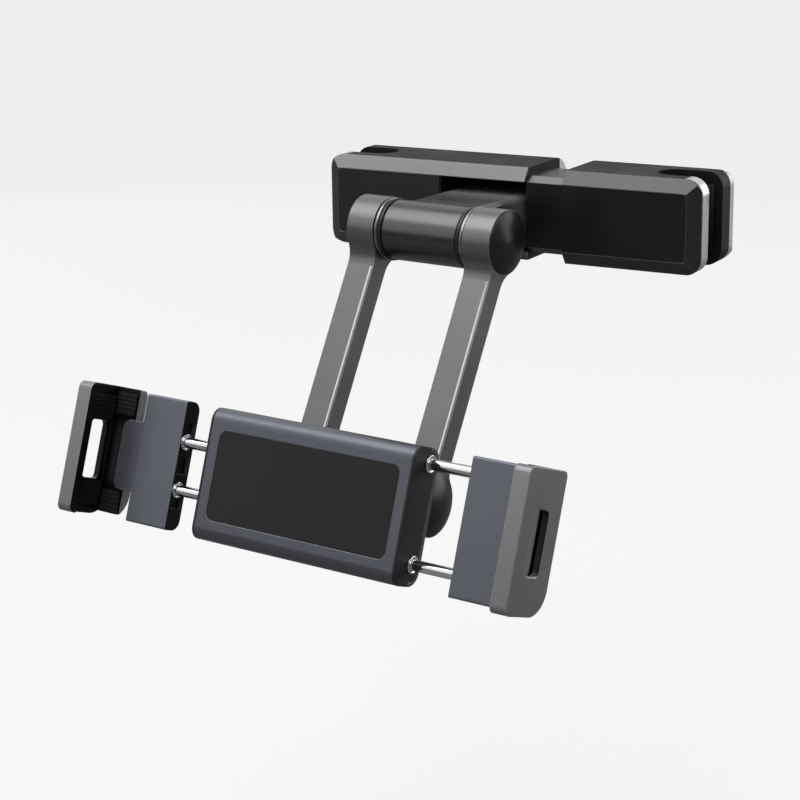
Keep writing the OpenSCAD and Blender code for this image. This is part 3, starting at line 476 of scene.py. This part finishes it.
# A grid of points (rows, columns, 3) becomes one mesh; its columns wrap round, and its rows where asked
def gridMesh(name, points, material, body, place=None, closeRows=False, smooth=True):
    rows, columns = points.shape[:2]
    if place is not None:
        points = applyPlace(place, points.reshape(-1, 3)).reshape(rows, columns, 3)
    r = np.arange(rows if closeRows else rows - 1)
    r, c = np.meshgrid(r, np.arange(columns), indexing="ij")
    rNext, cNext = (r + 1) % rows, (c + 1) % columns
    faces = np.stack([r * columns + c, rNext * columns + c, rNext * columns + cNext,
                      r * columns + cNext], -1)
    mesh = bpy.data.meshes.new(name)
    mesh.from_pydata(points.reshape(-1, 3), [], faces.reshape(-1, 4).tolist())
    work = bmesh.new()
    work.from_mesh(mesh)
    bmesh.ops.remove_doubles(work, verts=work.verts, dist=gridWeld)
    bmesh.ops.recalc_face_normals(work, faces=work.faces)
    work.to_mesh(mesh)
    work.free()
    mesh.materials.append(material)
    if smooth:
        mesh.polygons.foreach_set("use_smooth", np.ones(len(mesh.polygons), dtype=bool))
    piece = bpy.data.objects.new(name, mesh)
    bpy.context.scene.collection.objects.link(piece)
    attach(piece, body)
    return piece


# friction rings: turned bands on a black core; collar and band are (from, to, radius)
ringLook = {"inner": 0.0040, "core": 0.0130, "start": 0.0209, "end": 0.0256, "soft": 0.0004,
            "sunk": 0.001, "collar": (0.0213, 0.0231, 0.0150), "band": (0.0234, 0.0252, 0.0151),
            "around": 128, "softSteps": 6, "crownSteps": 7}


# Closed profile of one ring: flat sides, rounded rims, and an outer face that bulges, as a parabola,
# by a quarter of "soft"
def makeBand(name, place, side, x0, x1, radius, inner, material):
    soft = ringLook["soft"]
    turn = np.linspace(0, math.pi / 2, ringLook["softSteps"])
    first = np.stack([x0 + soft - soft * np.cos(turn), radius - soft + soft * np.sin(turn)], -1)
    last = quarterProfile(x1 - soft, radius - soft, soft, ringLook["softSteps"])
    crown = np.linspace(x0 + soft, x1 - soft, ringLook["crownSteps"])[1:-1]
    bulge = soft / 4 * (1 - ((crown - (x0 + x1) / 2) / ((x1 - x0) / 2 - soft)) ** 2)
    profile = np.concatenate([[[x0, inner]], first, np.stack([crown, radius + bulge], -1), last,
                              [[x1, inner]]])
    return gridMesh(name, turnedX(profile, ringLook["around"], side), materials[material], "link", place,
                    closeRows=True)


def makeRing(label, place, side):
    look = ringLook
    foot = look["core"] - look["sunk"]
    makeBand("ringCollar" + label, place, side, *look["collar"], foot, "collarDark")
    makeBand("ringBand" + label, place, side, *look["band"], foot, "ringSteel")
    return makeBand("ringCore" + label, place, side, look["start"], look["end"], look["core"],
                    look["inner"], "coreBlack")


rings = {}
for label, place in (("Upper", linkPlace), ("Lower", lowPlace)):
    for hand, side in (("Left", -1), ("Right", 1)):
        rings[label + hand] = makeRing(label + hand, place, side)
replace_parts(rings["UpperLeft"], "friction_rings_upper")
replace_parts(rings["LowerLeft"], "friction_rings_lower")
print("friction rings made")


# domed caps on the knuckles
capLook = {"radius": 0.0150, "height": 0.0047, "foot": 0.0407, "rim": 0.0004, "step": 0.0002,
           "around": 96, "rimSteps": 7, "faceSteps": 26}


# A small quarter-round rim, then a shallow dome whose height falls with the square of the radius
def makeCap(name, place, side, node):
    foot, rim = capLook["foot"], capLook["rim"]
    flatRadius = capLook["radius"] - rim
    edge = quarterProfile(foot + capLook["step"], flatRadius, rim, capLook["rimSteps"])
    top = edge[-1, 0]
    radius = np.linspace(flatRadius, 0, capLook["faceSteps"])[1:]
    dome = top + (foot + capLook["height"] - top) * (1 - (radius / flatRadius) ** 2)
    profile = np.concatenate([[[foot, 0.0], [foot, capLook["radius"]]], edge, np.stack([dome, radius], -1)])
    points = turnedX(profile, capLook["around"], side)
    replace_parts(gridMesh(name, points, materials["domeDark"], "link", place), node)


makeCap("capUpperLeft", linkPlace, -1, "upper_left_cap")
makeCap("capUpperRight", linkPlace, 1, "upper_right_cap")
makeCap("capLowerLeft", lowPlace, -1, "lower_left_cap")
makeCap("capLowerRight", lowPlace, 1, "lower_right_cap")
print("caps made")


# chrome collars on the left slide, and bushes in the holder's ends; only the right ones stand proud
collarLook = {"rod": 0.0026, "bore": 0.00275, "outer": 0.0039, "thick": 0.0008, "soft": 0.0003,
              "rodDepth": 0.013, "leftFace": -0.081, "leftHeights": (0.0115, -0.0115),
              "holderEnd": 0.0575, "bush": 0.0034, "bushDepth": 0.004, "flange": 0.0041,
              "rightHeights": (0.0237, -0.0211), "around": 64, "softSteps": 6}


# A turned profile (x, radius) about a rod's axis at height z of the holder
def turnedOnRod(name, profile, z, material, body):
    points = turnedX(profile, collarLook["around"]) + np.array([0, collarLook["rodDepth"], z])
    return gridMesh(name, points, materials[material], body, holderPlace, closeRows=True)


# A ring with a rounded outer edge, its faces square to the rod
def collarProfile(x0, inner, outer):
    soft, x1 = collarLook["soft"], x0 + collarLook["thick"]
    rounded = quarterProfile(x1 - soft, outer - soft, soft, collarLook["softSteps"])
    return np.concatenate([[[x0, inner], [x0, outer]], rounded, [[x1, inner]]])


def makeCollars():
    look = collarLook
    collar = collarProfile(look["leftFace"], look["rod"], look["outer"])
    end, depth = -look["holderEnd"], look["bushDepth"]
    plain = np.array([[end, look["bore"]], [end, look["bush"]], [end + depth, look["bush"]],
                      [end + depth, look["bore"]]])
    for number, z in enumerate(look["leftHeights"]):
        turnedOnRod("slideCollar" + str(number + 1), collar, z, "chrome", "left_jaw")
        bush = turnedOnRod("leftBush" + str(number + 1), plain, z, "coreBlack", "holder")
    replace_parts(bush, "rod_bushes")
    flange = collarProfile(look["holderEnd"], look["bore"], look["flange"])
    for number, z in enumerate(look["rightHeights"]):
        turnedOnRod("rightBushFlange" + str(number + 1), flange, z, "chrome", "holder")


makeCollars()
print("collars and bushes made")


# spring inside the rail, drawn at one length; the clamp squashes it as it closes
springLook = {"start": 0.094, "end": 0.150, "radius": 0.005, "wire": 0.0007, "turns": 9,
              "flatTurns": 0.5, "travel": 0.0195, "perTurn": 24, "wireSides": 10}


# Tube round a helix: the wire's circle, in the plane of the axis and the radius, turns about the axis
# while it moves along; the first and last half turn lie flat
def makeSpring():
    look = springLook
    lowCorner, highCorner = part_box("clamp_spring")
    axisY, axisZ = (lowCorner[1] + highCorner[1]) / 2, (lowCorner[2] + highCorner[2]) / 2
    share = np.linspace(0, 1, look["turns"] * look["perTurn"] + 1)
    swept = share * look["turns"] * 2 * math.pi
    flat = look["flatTurns"] / look["turns"]
    rise = np.clip((share - flat) / (1 - 2 * flat), 0, 1)
    wire = np.linspace(0, 2 * math.pi, look["wireSides"], endpoint=False)
    along = look["start"] + look["wire"] + (look["end"] - look["start"] - 2 * look["wire"]) * rise
    radius = look["radius"] + look["wire"] * np.cos(wire)
    points = np.stack([along[:, None] + look["wire"] * np.sin(wire)[None, :],
                       axisY + radius[None, :] * np.cos(swept)[:, None],
                       axisZ + radius[None, :] * np.sin(swept)[:, None]], -1)
    spring = gridMesh("clampSpring", closeTube(points), materials["screwSteel"], "base")
    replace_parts(spring, "clamp_spring")
    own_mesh(spring)


makeSpring()
print("spring made")


# hooks: the CAD shape with the rim of the outer face rounded, all but its front edge
hookLook = {"rounding": 0.0026, "steps": 5, "front": -0.0072, "slotHalf": 0.0145,
            "slotY": (-0.003, 0.0098), "leftFace": -0.1314, "rightFace": 0.1228, "faceSlack": 2e-5,
            "weld": 1e-6, "flatDegrees": 0.3, "sharpDegrees": 28}


# Edges with both ends on the outer face, neither at the window nor both at the front, get the bevel weight
def makeHook(name, node, outerX, body):
    look = hookLook
    mesh = nodes[node].data.copy()
    mesh.name = name
    work = bmesh.new()
    work.from_mesh(mesh)
    bmesh.ops.remove_doubles(work, verts=work.verts, dist=look["weld"])
    bmesh.ops.dissolve_limit(work, angle_limit=math.radians(look["flatDegrees"]), verts=work.verts,
                             edges=work.edges)
    bmesh.ops.recalc_face_normals(work, faces=work.faces)
    work.to_mesh(mesh)
    work.free()
    spots = np.empty(len(mesh.vertices) * 3)
    mesh.vertices.foreach_get("co", spots)
    spots = (spots.reshape(-1, 3) - holderPlace[:3, 3]) @ holderPlace[:3, :3]
    ends = np.empty(len(mesh.edges) * 2, dtype=np.int32)
    mesh.edges.foreach_get("vertices", ends)
    ends = ends.reshape(-1, 2)
    onFace = np.abs(spots[:, 0] - outerX) < look["faceSlack"]
    atSlot = ((np.abs(spots[:, 2]) < look["slotHalf"]) & (spots[:, 1] > look["slotY"][0])
              & (spots[:, 1] < look["slotY"][1]))
    atFront = spots[:, 1] < look["front"]
    chosen = (onFace & ~atSlot)[ends].all(1) & ~atFront[ends].all(1)
    weight = mesh.attributes.new("bevel_weight_edge", "FLOAT", "EDGE")
    weight.data.foreach_set("value", chosen.astype(np.float32))
    mesh.polygons.foreach_set("use_smooth", np.ones(len(mesh.polygons), dtype=bool))
    mesh.set_sharp_from_angle(angle=math.radians(look["sharpDegrees"]))
    mesh.materials.clear()
    mesh.materials.append(materials["hookGrey"])
    hook = bpy.data.objects.new(name, mesh)
    bpy.context.scene.collection.objects.link(hook)
    bevel = hook.modifiers.new("rim", "BEVEL")
    bevel.limit_method = "WEIGHT"
    bevel.width = look["rounding"]
    bevel.segments = look["steps"]
    print(name, "rim edges", int(chosen.sum()), "of", len(chosen))
    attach(hook, body)
    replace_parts(hook, node)


makeHook("leftHook", "left_hook", hookLook["leftFace"], "left_hook_body")
makeHook("rightHook", "right_hook", hookLook["rightFace"], "right_hook_body")


# rear screws with a six-sided socket
screwLook = {"head": 0.0030, "headHeight": 0.0016, "headEdge": 0.0003, "shank": 0.0015, "tip": 0.0005,
             "tipShare": 0.7, "socket": 0.0013, "socketDepth": 0.0009, "socketPoint": 0.0002,
             "socketEdge": 0.0001, "mouthShare": 1.12, "floorShare": 0.98, "around": 48,
             "clampLength": 0.0115, "clampY": 0.0285, "baseX": (-0.004, 0.069), "sliderX": (0.169, 0.123),
             "holderLength": 0.0135, "holderY": 0.0195, "holderX": (-0.04, 0.04),
             "holderZ": (-0.0163, 0.0176)}


# Turned profile with rows of (depth, plain radius, share of the hexagon's radius); the hexagon's
# radius is its flat distance / cos(angle to the flat)
def screwGrid(length):
    s = screwLook
    angle = np.linspace(0, 2 * math.pi, s["around"], endpoint=False)
    toFlat = (angle + math.pi / 6) % (math.pi / 3) - math.pi / 6
    hexagon = s["socket"] / np.cos(toFlat)
    rows = np.array([(-length, 0, 0), (-length, s["shank"] * s["tipShare"], 0),
                     (-length + s["tip"], s["shank"], 0), (-s["headHeight"], s["shank"], 0),
                     (-s["headHeight"], s["head"], 0), (-s["headEdge"], s["head"], 0),
                     (0, s["head"] - s["headEdge"], 0), (0, 0, s["mouthShare"]), (-s["socketEdge"], 0, 1),
                     (-s["socketDepth"], 0, s["floorShare"]),
                     (-s["socketDepth"] - s["socketPoint"], 0, 0)])
    depth, plain, share = rows[:, 0, None], rows[:, 1, None], rows[:, 2, None]
    radius = plain + share * hexagon
    return np.stack([radius * np.cos(angle), np.repeat(depth, len(angle), 1), radius * np.sin(angle)], -1)


def makeScrews(name, spots, length, place, body, node):
    made = [gridMesh(name + str(number + 1), screwGrid(length) + np.array(spot), materials["screwSteel"],
                     body, place, smooth=False) for number, spot in enumerate(spots)]
    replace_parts(made[0], node)


makeScrews("baseScrew", [(x, screwLook["clampY"], 0) for x in screwLook["baseX"]],
           screwLook["clampLength"], None, "base", "base_screws")
makeScrews("sliderScrew", [(x, screwLook["clampY"], 0) for x in screwLook["sliderX"]],
           screwLook["clampLength"], None, "slider", "slider_screws")
makeScrews("holderScrew", [(x, screwLook["holderY"], z) for x in screwLook["holderX"]
                           for z in screwLook["holderZ"]],
           screwLook["holderLength"], holderPlace, "holder", "holder_screws")
print("screws made")


# ribbed rubber pads in the hooks: each box is (from the outer face, to it, front, back), and the
# others are heights on the hook
padLook = {"ribStep": 0.0022, "ribDepth": 0.00035, "perRib": 8, "corner": 0.00035, "cornerSteps": 4,
           "back": (0.016, 0.0044, 0.0121, 0.0134), "backHeight": 0.024, "backHalf": 0.0055,
           "wall": (0.0044, 0.0032, -0.0073, 0.0111), "wallSpan": (0.0145, 0.027),
           "lip": (0.0072, 0.0033, -0.0073, -0.0061)}


# Four quarter circles, one about each corner's centre, make one loop
def roundedBox(x0, x1, y0, y1, corner):
    quarter = np.linspace(0, math.pi / 2, padLook["cornerSteps"])
    arcs = []
    for k, (cx, cy) in enumerate([(x1 - corner, y1 - corner), (x0 + corner, y1 - corner),
                                  (x0 + corner, y0 + corner), (x1 - corner, y0 + corner)]):
        turn = quarter + k * math.pi / 2
        arcs.append(np.stack([cx + corner * np.cos(turn), cy + corner * np.sin(turn)], -1))
    return np.concatenate(arcs)


# A rounded rectangle carried along Z; between ribs its working face sinks by ribDepth times 1 less
# the root of a cosine wave, and both ends draw in to a point on the end face
def ribbedPad(name, box, zSpan, face, hand, body):
    c = padLook["corner"]
    loop = roundedBox(*box, c)
    middle = np.array([(box[0] + box[1]) / 2, (box[2] + box[3]) / 2])
    toward = np.array(face, float)
    reach = (loop - middle) @ toward
    weight = (reach > reach.max() - 1e-6).astype(float)
    count = max(2, round((zSpan[1] - zSpan[0]) / padLook["ribStep"]))
    z = np.linspace(zSpan[0] + c, zSpan[1] - c, count * padLook["perRib"] + 1)
    wave = 0.5 - 0.5 * np.cos(np.linspace(0, 2 * math.pi * count, len(z)))
    sink = padLook["ribDepth"] * (1 - wave ** 0.5)
    rows = loop[None] - sink[:, None, None] * weight[None, :, None] * toward
    inset = middle + (loop - middle) * (1 - 2 * c / np.ptp(loop, axis=0).max())
    point = np.broadcast_to(middle, (1,) + loop.shape)
    rows = np.concatenate([point, inset[None], rows, inset[None], point])
    z = np.concatenate([[zSpan[0], zSpan[0]], z, [zSpan[1], zSpan[1]]])
    points = np.concatenate([rows, np.broadcast_to(z[:, None, None], rows.shape[:2] + (1,))], -1)
    points[..., 0] *= hand
    return gridMesh(name, points, materials["softRubber"], body, holderPlace)


def hookPads(label, hand, outerX, body, node):
    look = padLook
    back, wall, lip = [(abs(outerX) - box[0], abs(outerX) - box[1], *box[2:])
                       for box in (look["back"], look["wall"], look["lip"])]
    inner, outer = look["wallSpan"]
    made = []
    for number, z, span in ((1, -look["backHeight"], (-outer, -inner)),
                            (2, look["backHeight"], (inner, outer))):
        backSpan = (z - look["backHalf"], z + look["backHalf"])
        made.append(ribbedPad("backPad%s%d" % (label, number), back, backSpan, (0, -1), hand, body))
        made.append(ribbedPad("wallPad%s%d" % (label, number), wall, span, (-1, 0), hand, body))
    made.append(ribbedPad("lipPad" + label, lip, (-outer, outer), (0, 1), hand, body))
    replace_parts(made[0], node)


hookPads("Left", -1, hookLook["leftFace"], "left_hook_body", "left_hook_pads")
hookPads("Right", 1, hookLook["rightFace"], "right_hook_body", "right_hook_pads")


# rubber linings of the post slots, about the left post's axis; the right one is mirrored at the
# middle of the two posts
linerLook = {"inner": 0.0075, "wall": 0.0015, "clear": 0.00002, "back": -0.016, "half": 0.0163,
             "chamfer": 0.0003, "rib": 0.0024, "ribDepth": 0.0004, "straightSteps": 60, "bendSteps": 90,
             "postGap": 0.161}


# Lining of a post slot: a rectangle (wall by height) carried along a U; the side towards the post
# is cut back by ribDepth times the square of a cosine wave of the path's length
def slotLiner(name, mirrorAt, body, node):
    look = linerLook
    inner, half, c = look["inner"], look["half"], look["chamfer"]
    steps, outer = look["straightSteps"], look["wall"] - look["clear"]
    straight = np.linspace(look["back"], 0, steps)
    turn = np.linspace(-math.pi / 2, math.pi / 2, look["bendSteps"])[1:-1]
    bend = np.stack([np.cos(turn), np.sin(turn)], -1)
    path = np.concatenate([np.stack([straight, np.full(steps, -inner)], -1), inner * bend,
                           np.stack([straight[::-1], np.full(steps, inner)], -1)])
    away = np.concatenate([np.tile([0.0, -1.0], (steps, 1)), bend, np.tile([0.0, 1.0], (steps, 1))])
    run = np.concatenate([[0], np.cumsum(np.linalg.norm(np.diff(path, axis=0), axis=1))])
    cut = look["ribDepth"] * (0.5 - 0.5 * np.cos(run / look["rib"] * 2 * math.pi)) ** 2
    across = np.array([0, 0, c, outer, outer, c])
    height = np.array([-half + c, half - c, half, half, -half, -half])
    near = np.array([1, 1, 0.5, 0, 0, 0.5])
    offset = across[None, :] + near[None, :] * cut[:, None]
    flat = path[:, None, :] + away[:, None, :] * offset[..., None]
    points = np.concatenate([flat, np.broadcast_to(height[None, :, None], flat.shape[:2] + (1,))], -1)
    points = closeTube(points)
    if mirrorAt is not None:
        points[..., 0] = mirrorAt - points[..., 0]
    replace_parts(gridMesh(name, points, materials["softRubber"], body), node)


slotLiner("leftSlotLiner", None, "base", "base_slot_liner")
slotLiner("rightSlotLiner", linerLook["postGap"], "slider", "slider_slot_liner")
print("rubber made")


# floor and light; the floor lies below the lowest pose of the holder
studio = {"floorColour": (0.9, 0.9, 0.9), "bounceColour": (0.22, 0.22, 0.22), "floorRough": 0.9,
          "whiteShare": 0.8, "floorDrop": 0.17, "size": 6.0, "front": -3.0, "bendFrom": 2.0, "bend": 1.2,
          "wallGap": 0.1, "wallTop": 4.0, "riseFrom": 0.5, "riseTo": 1.6, "worldLight": 0.18,
          "worldSeen": 0.95, "behindFrom": 0.4, "behindTo": 0.9, "aim": (0.05, -0.1, -0.05)}

# each lamp: place, width and height, power in watts
lamps = {"topSoftbox": ((-0.35, -0.7, 1.5), (2.4, 1.5), 27),
         "leftPanel": ((-1.2, -1.3, 0.65), (1.3, 1.0), 2.6),
         "backPanel": ((-1.5, 0.9, 0.3), (1.2, 0.8), 2.5),
         "rightPanel": ((1.25, 1.1, 0.3), (1.5, 1.0), 9.0)}


# Seen by the camera the sheet is nearly white and keeps a part of its shadows; metal sees
# the same white where the sheet has risen behind the object
def floorMaterial(low):
    material = bpy.data.materials.new("studioFloor")
    material.use_nodes = True
    tree = material.node_tree
    shader = tree.nodes["Principled BSDF"]
    shader.inputs["Roughness"].default_value = studio["floorRough"]
    path = tree.nodes.new("ShaderNodeLightPath")
    coord = tree.nodes.new("ShaderNodeTexCoord")
    split = tree.nodes.new("ShaderNodeSeparateXYZ")
    tree.links.new(coord.outputs["Object"], split.inputs[0])
    rise = tree.nodes.new("ShaderNodeMapRange")
    rise.inputs["From Min"].default_value = low + studio["riseFrom"]
    rise.inputs["From Max"].default_value = low + studio["riseTo"]
    tree.links.new(split.outputs["Z"], rise.inputs["Value"])
    bounced = mathNode(tree, "ADD", path.outputs["Is Glossy Ray"], path.outputs["Is Transmission Ray"])
    behind = mathNode(tree, "MULTIPLY", bounced, rise.outputs[0])
    seen = mathNode(tree, "ADD", path.outputs["Is Camera Ray"], behind, clamp=True)
    colour = tree.nodes.new("ShaderNodeMix")
    colour.data_type = "RGBA"
    colour.inputs[6].default_value = (*studio["bounceColour"], 1)
    colour.inputs[7].default_value = (*studio["floorColour"], 1)
    tree.links.new(path.outputs["Is Camera Ray"], colour.inputs[0])
    tree.links.new(colour.outputs[2], shader.inputs["Base Color"])
    glow = tree.nodes.new("ShaderNodeEmission")
    glow.inputs["Color"].default_value = (1, 1, 1, 1)
    blend = tree.nodes.new("ShaderNodeMixShader")
    tree.links.new(mathNode(tree, "MULTIPLY", seen, studio["whiteShare"]), blend.inputs[0])
    tree.links.new(shader.outputs[0], blend.inputs[1])
    tree.links.new(glow.outputs[0], blend.inputs[2])
    tree.links.new(blend.outputs[0], tree.nodes["Material Output"].inputs["Surface"])
    return material


# Floor and back wall in one sheet: a flat run, a quarter circle, then straight up
def makeFloor():
    look = studio
    turn = np.linspace(0, math.pi / 2, 24)
    flat = np.stack([np.linspace(look["front"], look["bendFrom"], 20), np.zeros(20)], -1)
    arc = np.stack([look["bendFrom"] + look["bend"] * np.sin(turn), look["bend"] * (1 - np.cos(turn))], -1)
    wall = np.stack([np.full(8, look["bendFrom"] + look["bend"]),
                     np.linspace(look["bend"] + look["wallGap"], look["wallTop"], 8)], -1)
    profile = np.concatenate([flat, arc[1:], wall])
    low = cadBox[0][2] - look["floorDrop"]
    x, k = np.meshgrid(np.linspace(-look["size"], look["size"], 24), np.arange(len(profile)))
    rows, columns = x.shape
    points = np.stack([x, profile[k, 0], profile[k, 1] + low], -1).reshape(-1, 3)
    r, c = np.meshgrid(np.arange(rows - 1), np.arange(columns - 1), indexing="ij")
    corner = r * columns + c
    faces = np.stack([corner, corner + 1, corner + columns + 1, corner + columns], -1)
    mesh = bpy.data.meshes.new("studioFloor")
    # the sheet is turned to stand behind the object as the camera sees it
    mesh.from_pydata(applyPlace(turnZ(cameraLook["turn"][2]), points), [], faces.reshape(-1, 4).tolist())
    mesh.polygons.foreach_set("use_smooth", np.ones(len(mesh.polygons), dtype=bool))
    mesh.materials.append(floorMaterial(low))
    floor = bpy.data.objects.new("studioFloor", mesh)
    bpy.context.scene.collection.objects.link(floor)


# A rectangle of light turned to its aim: yaw from the direction's x and y, tilt from its z
def areaLight(name, place, size, power):
    data = bpy.data.lights.new(name, "AREA")
    data.shape = "RECTANGLE"
    data.size, data.size_y = size
    data.energy = power
    lamp = bpy.data.objects.new(name, data)
    lamp.location = place
    aim = np.array(studio["aim"]) - np.array(place)
    aim = aim / np.linalg.norm(aim)
    yaw = math.atan2(aim[0], -aim[1])
    tilt = math.acos(-aim[2])
    lamp.rotation_euler = (tilt, 0, yaw + math.pi)
    bpy.context.scene.collection.objects.link(lamp)



# The world lights evenly and dimly; the camera sees it as pale as the sheet, and metal and glass
# see that where it stands behind the object, by the share of the direction that points there
def makeWorld():
    world = bpy.data.worlds.new("studioWorld")
    bpy.context.scene.world = world
    world.use_nodes = True
    tree = world.node_tree
    path = tree.nodes.new("ShaderNodeLightPath")
    coord = tree.nodes.new("ShaderNodeTexCoord")
    away = tree.nodes.new("ShaderNodeVectorMath")
    away.operation = "DOT_PRODUCT"
    tree.links.new(coord.outputs["Generated"], away.inputs[0])
    a = math.radians(cameraLook["turn"][2])
    away.inputs[1].default_value = (-math.sin(a), math.cos(a), 0)
    behind = tree.nodes.new("ShaderNodeMapRange")
    behind.inputs["From Min"].default_value = studio["behindFrom"]
    behind.inputs["From Max"].default_value = studio["behindTo"]
    tree.links.new(away.outputs["Value"], behind.inputs["Value"])
    bounced = mathNode(tree, "ADD", path.outputs["Is Glossy Ray"], path.outputs["Is Transmission Ray"])
    mirrored = mathNode(tree, "MULTIPLY", bounced, behind.outputs[0])
    seen = tree.nodes.new("ShaderNodeMapRange")
    seen.inputs["To Min"].default_value = studio["worldLight"]
    seen.inputs["To Max"].default_value = studio["worldSeen"]
    tree.links.new(mathNode(tree, "ADD", path.outputs["Is Camera Ray"], mirrored, clamp=True),
                   seen.inputs["Value"])
    background = tree.nodes["Background"]
    background.inputs["Color"].default_value = (1, 1, 1, 1)
    tree.links.new(seen.outputs[0], background.inputs["Strength"])


makeFloor()
for lampName, values in lamps.items():
    areaLight(lampName, *values)
makeWorld()
print("studio lit")
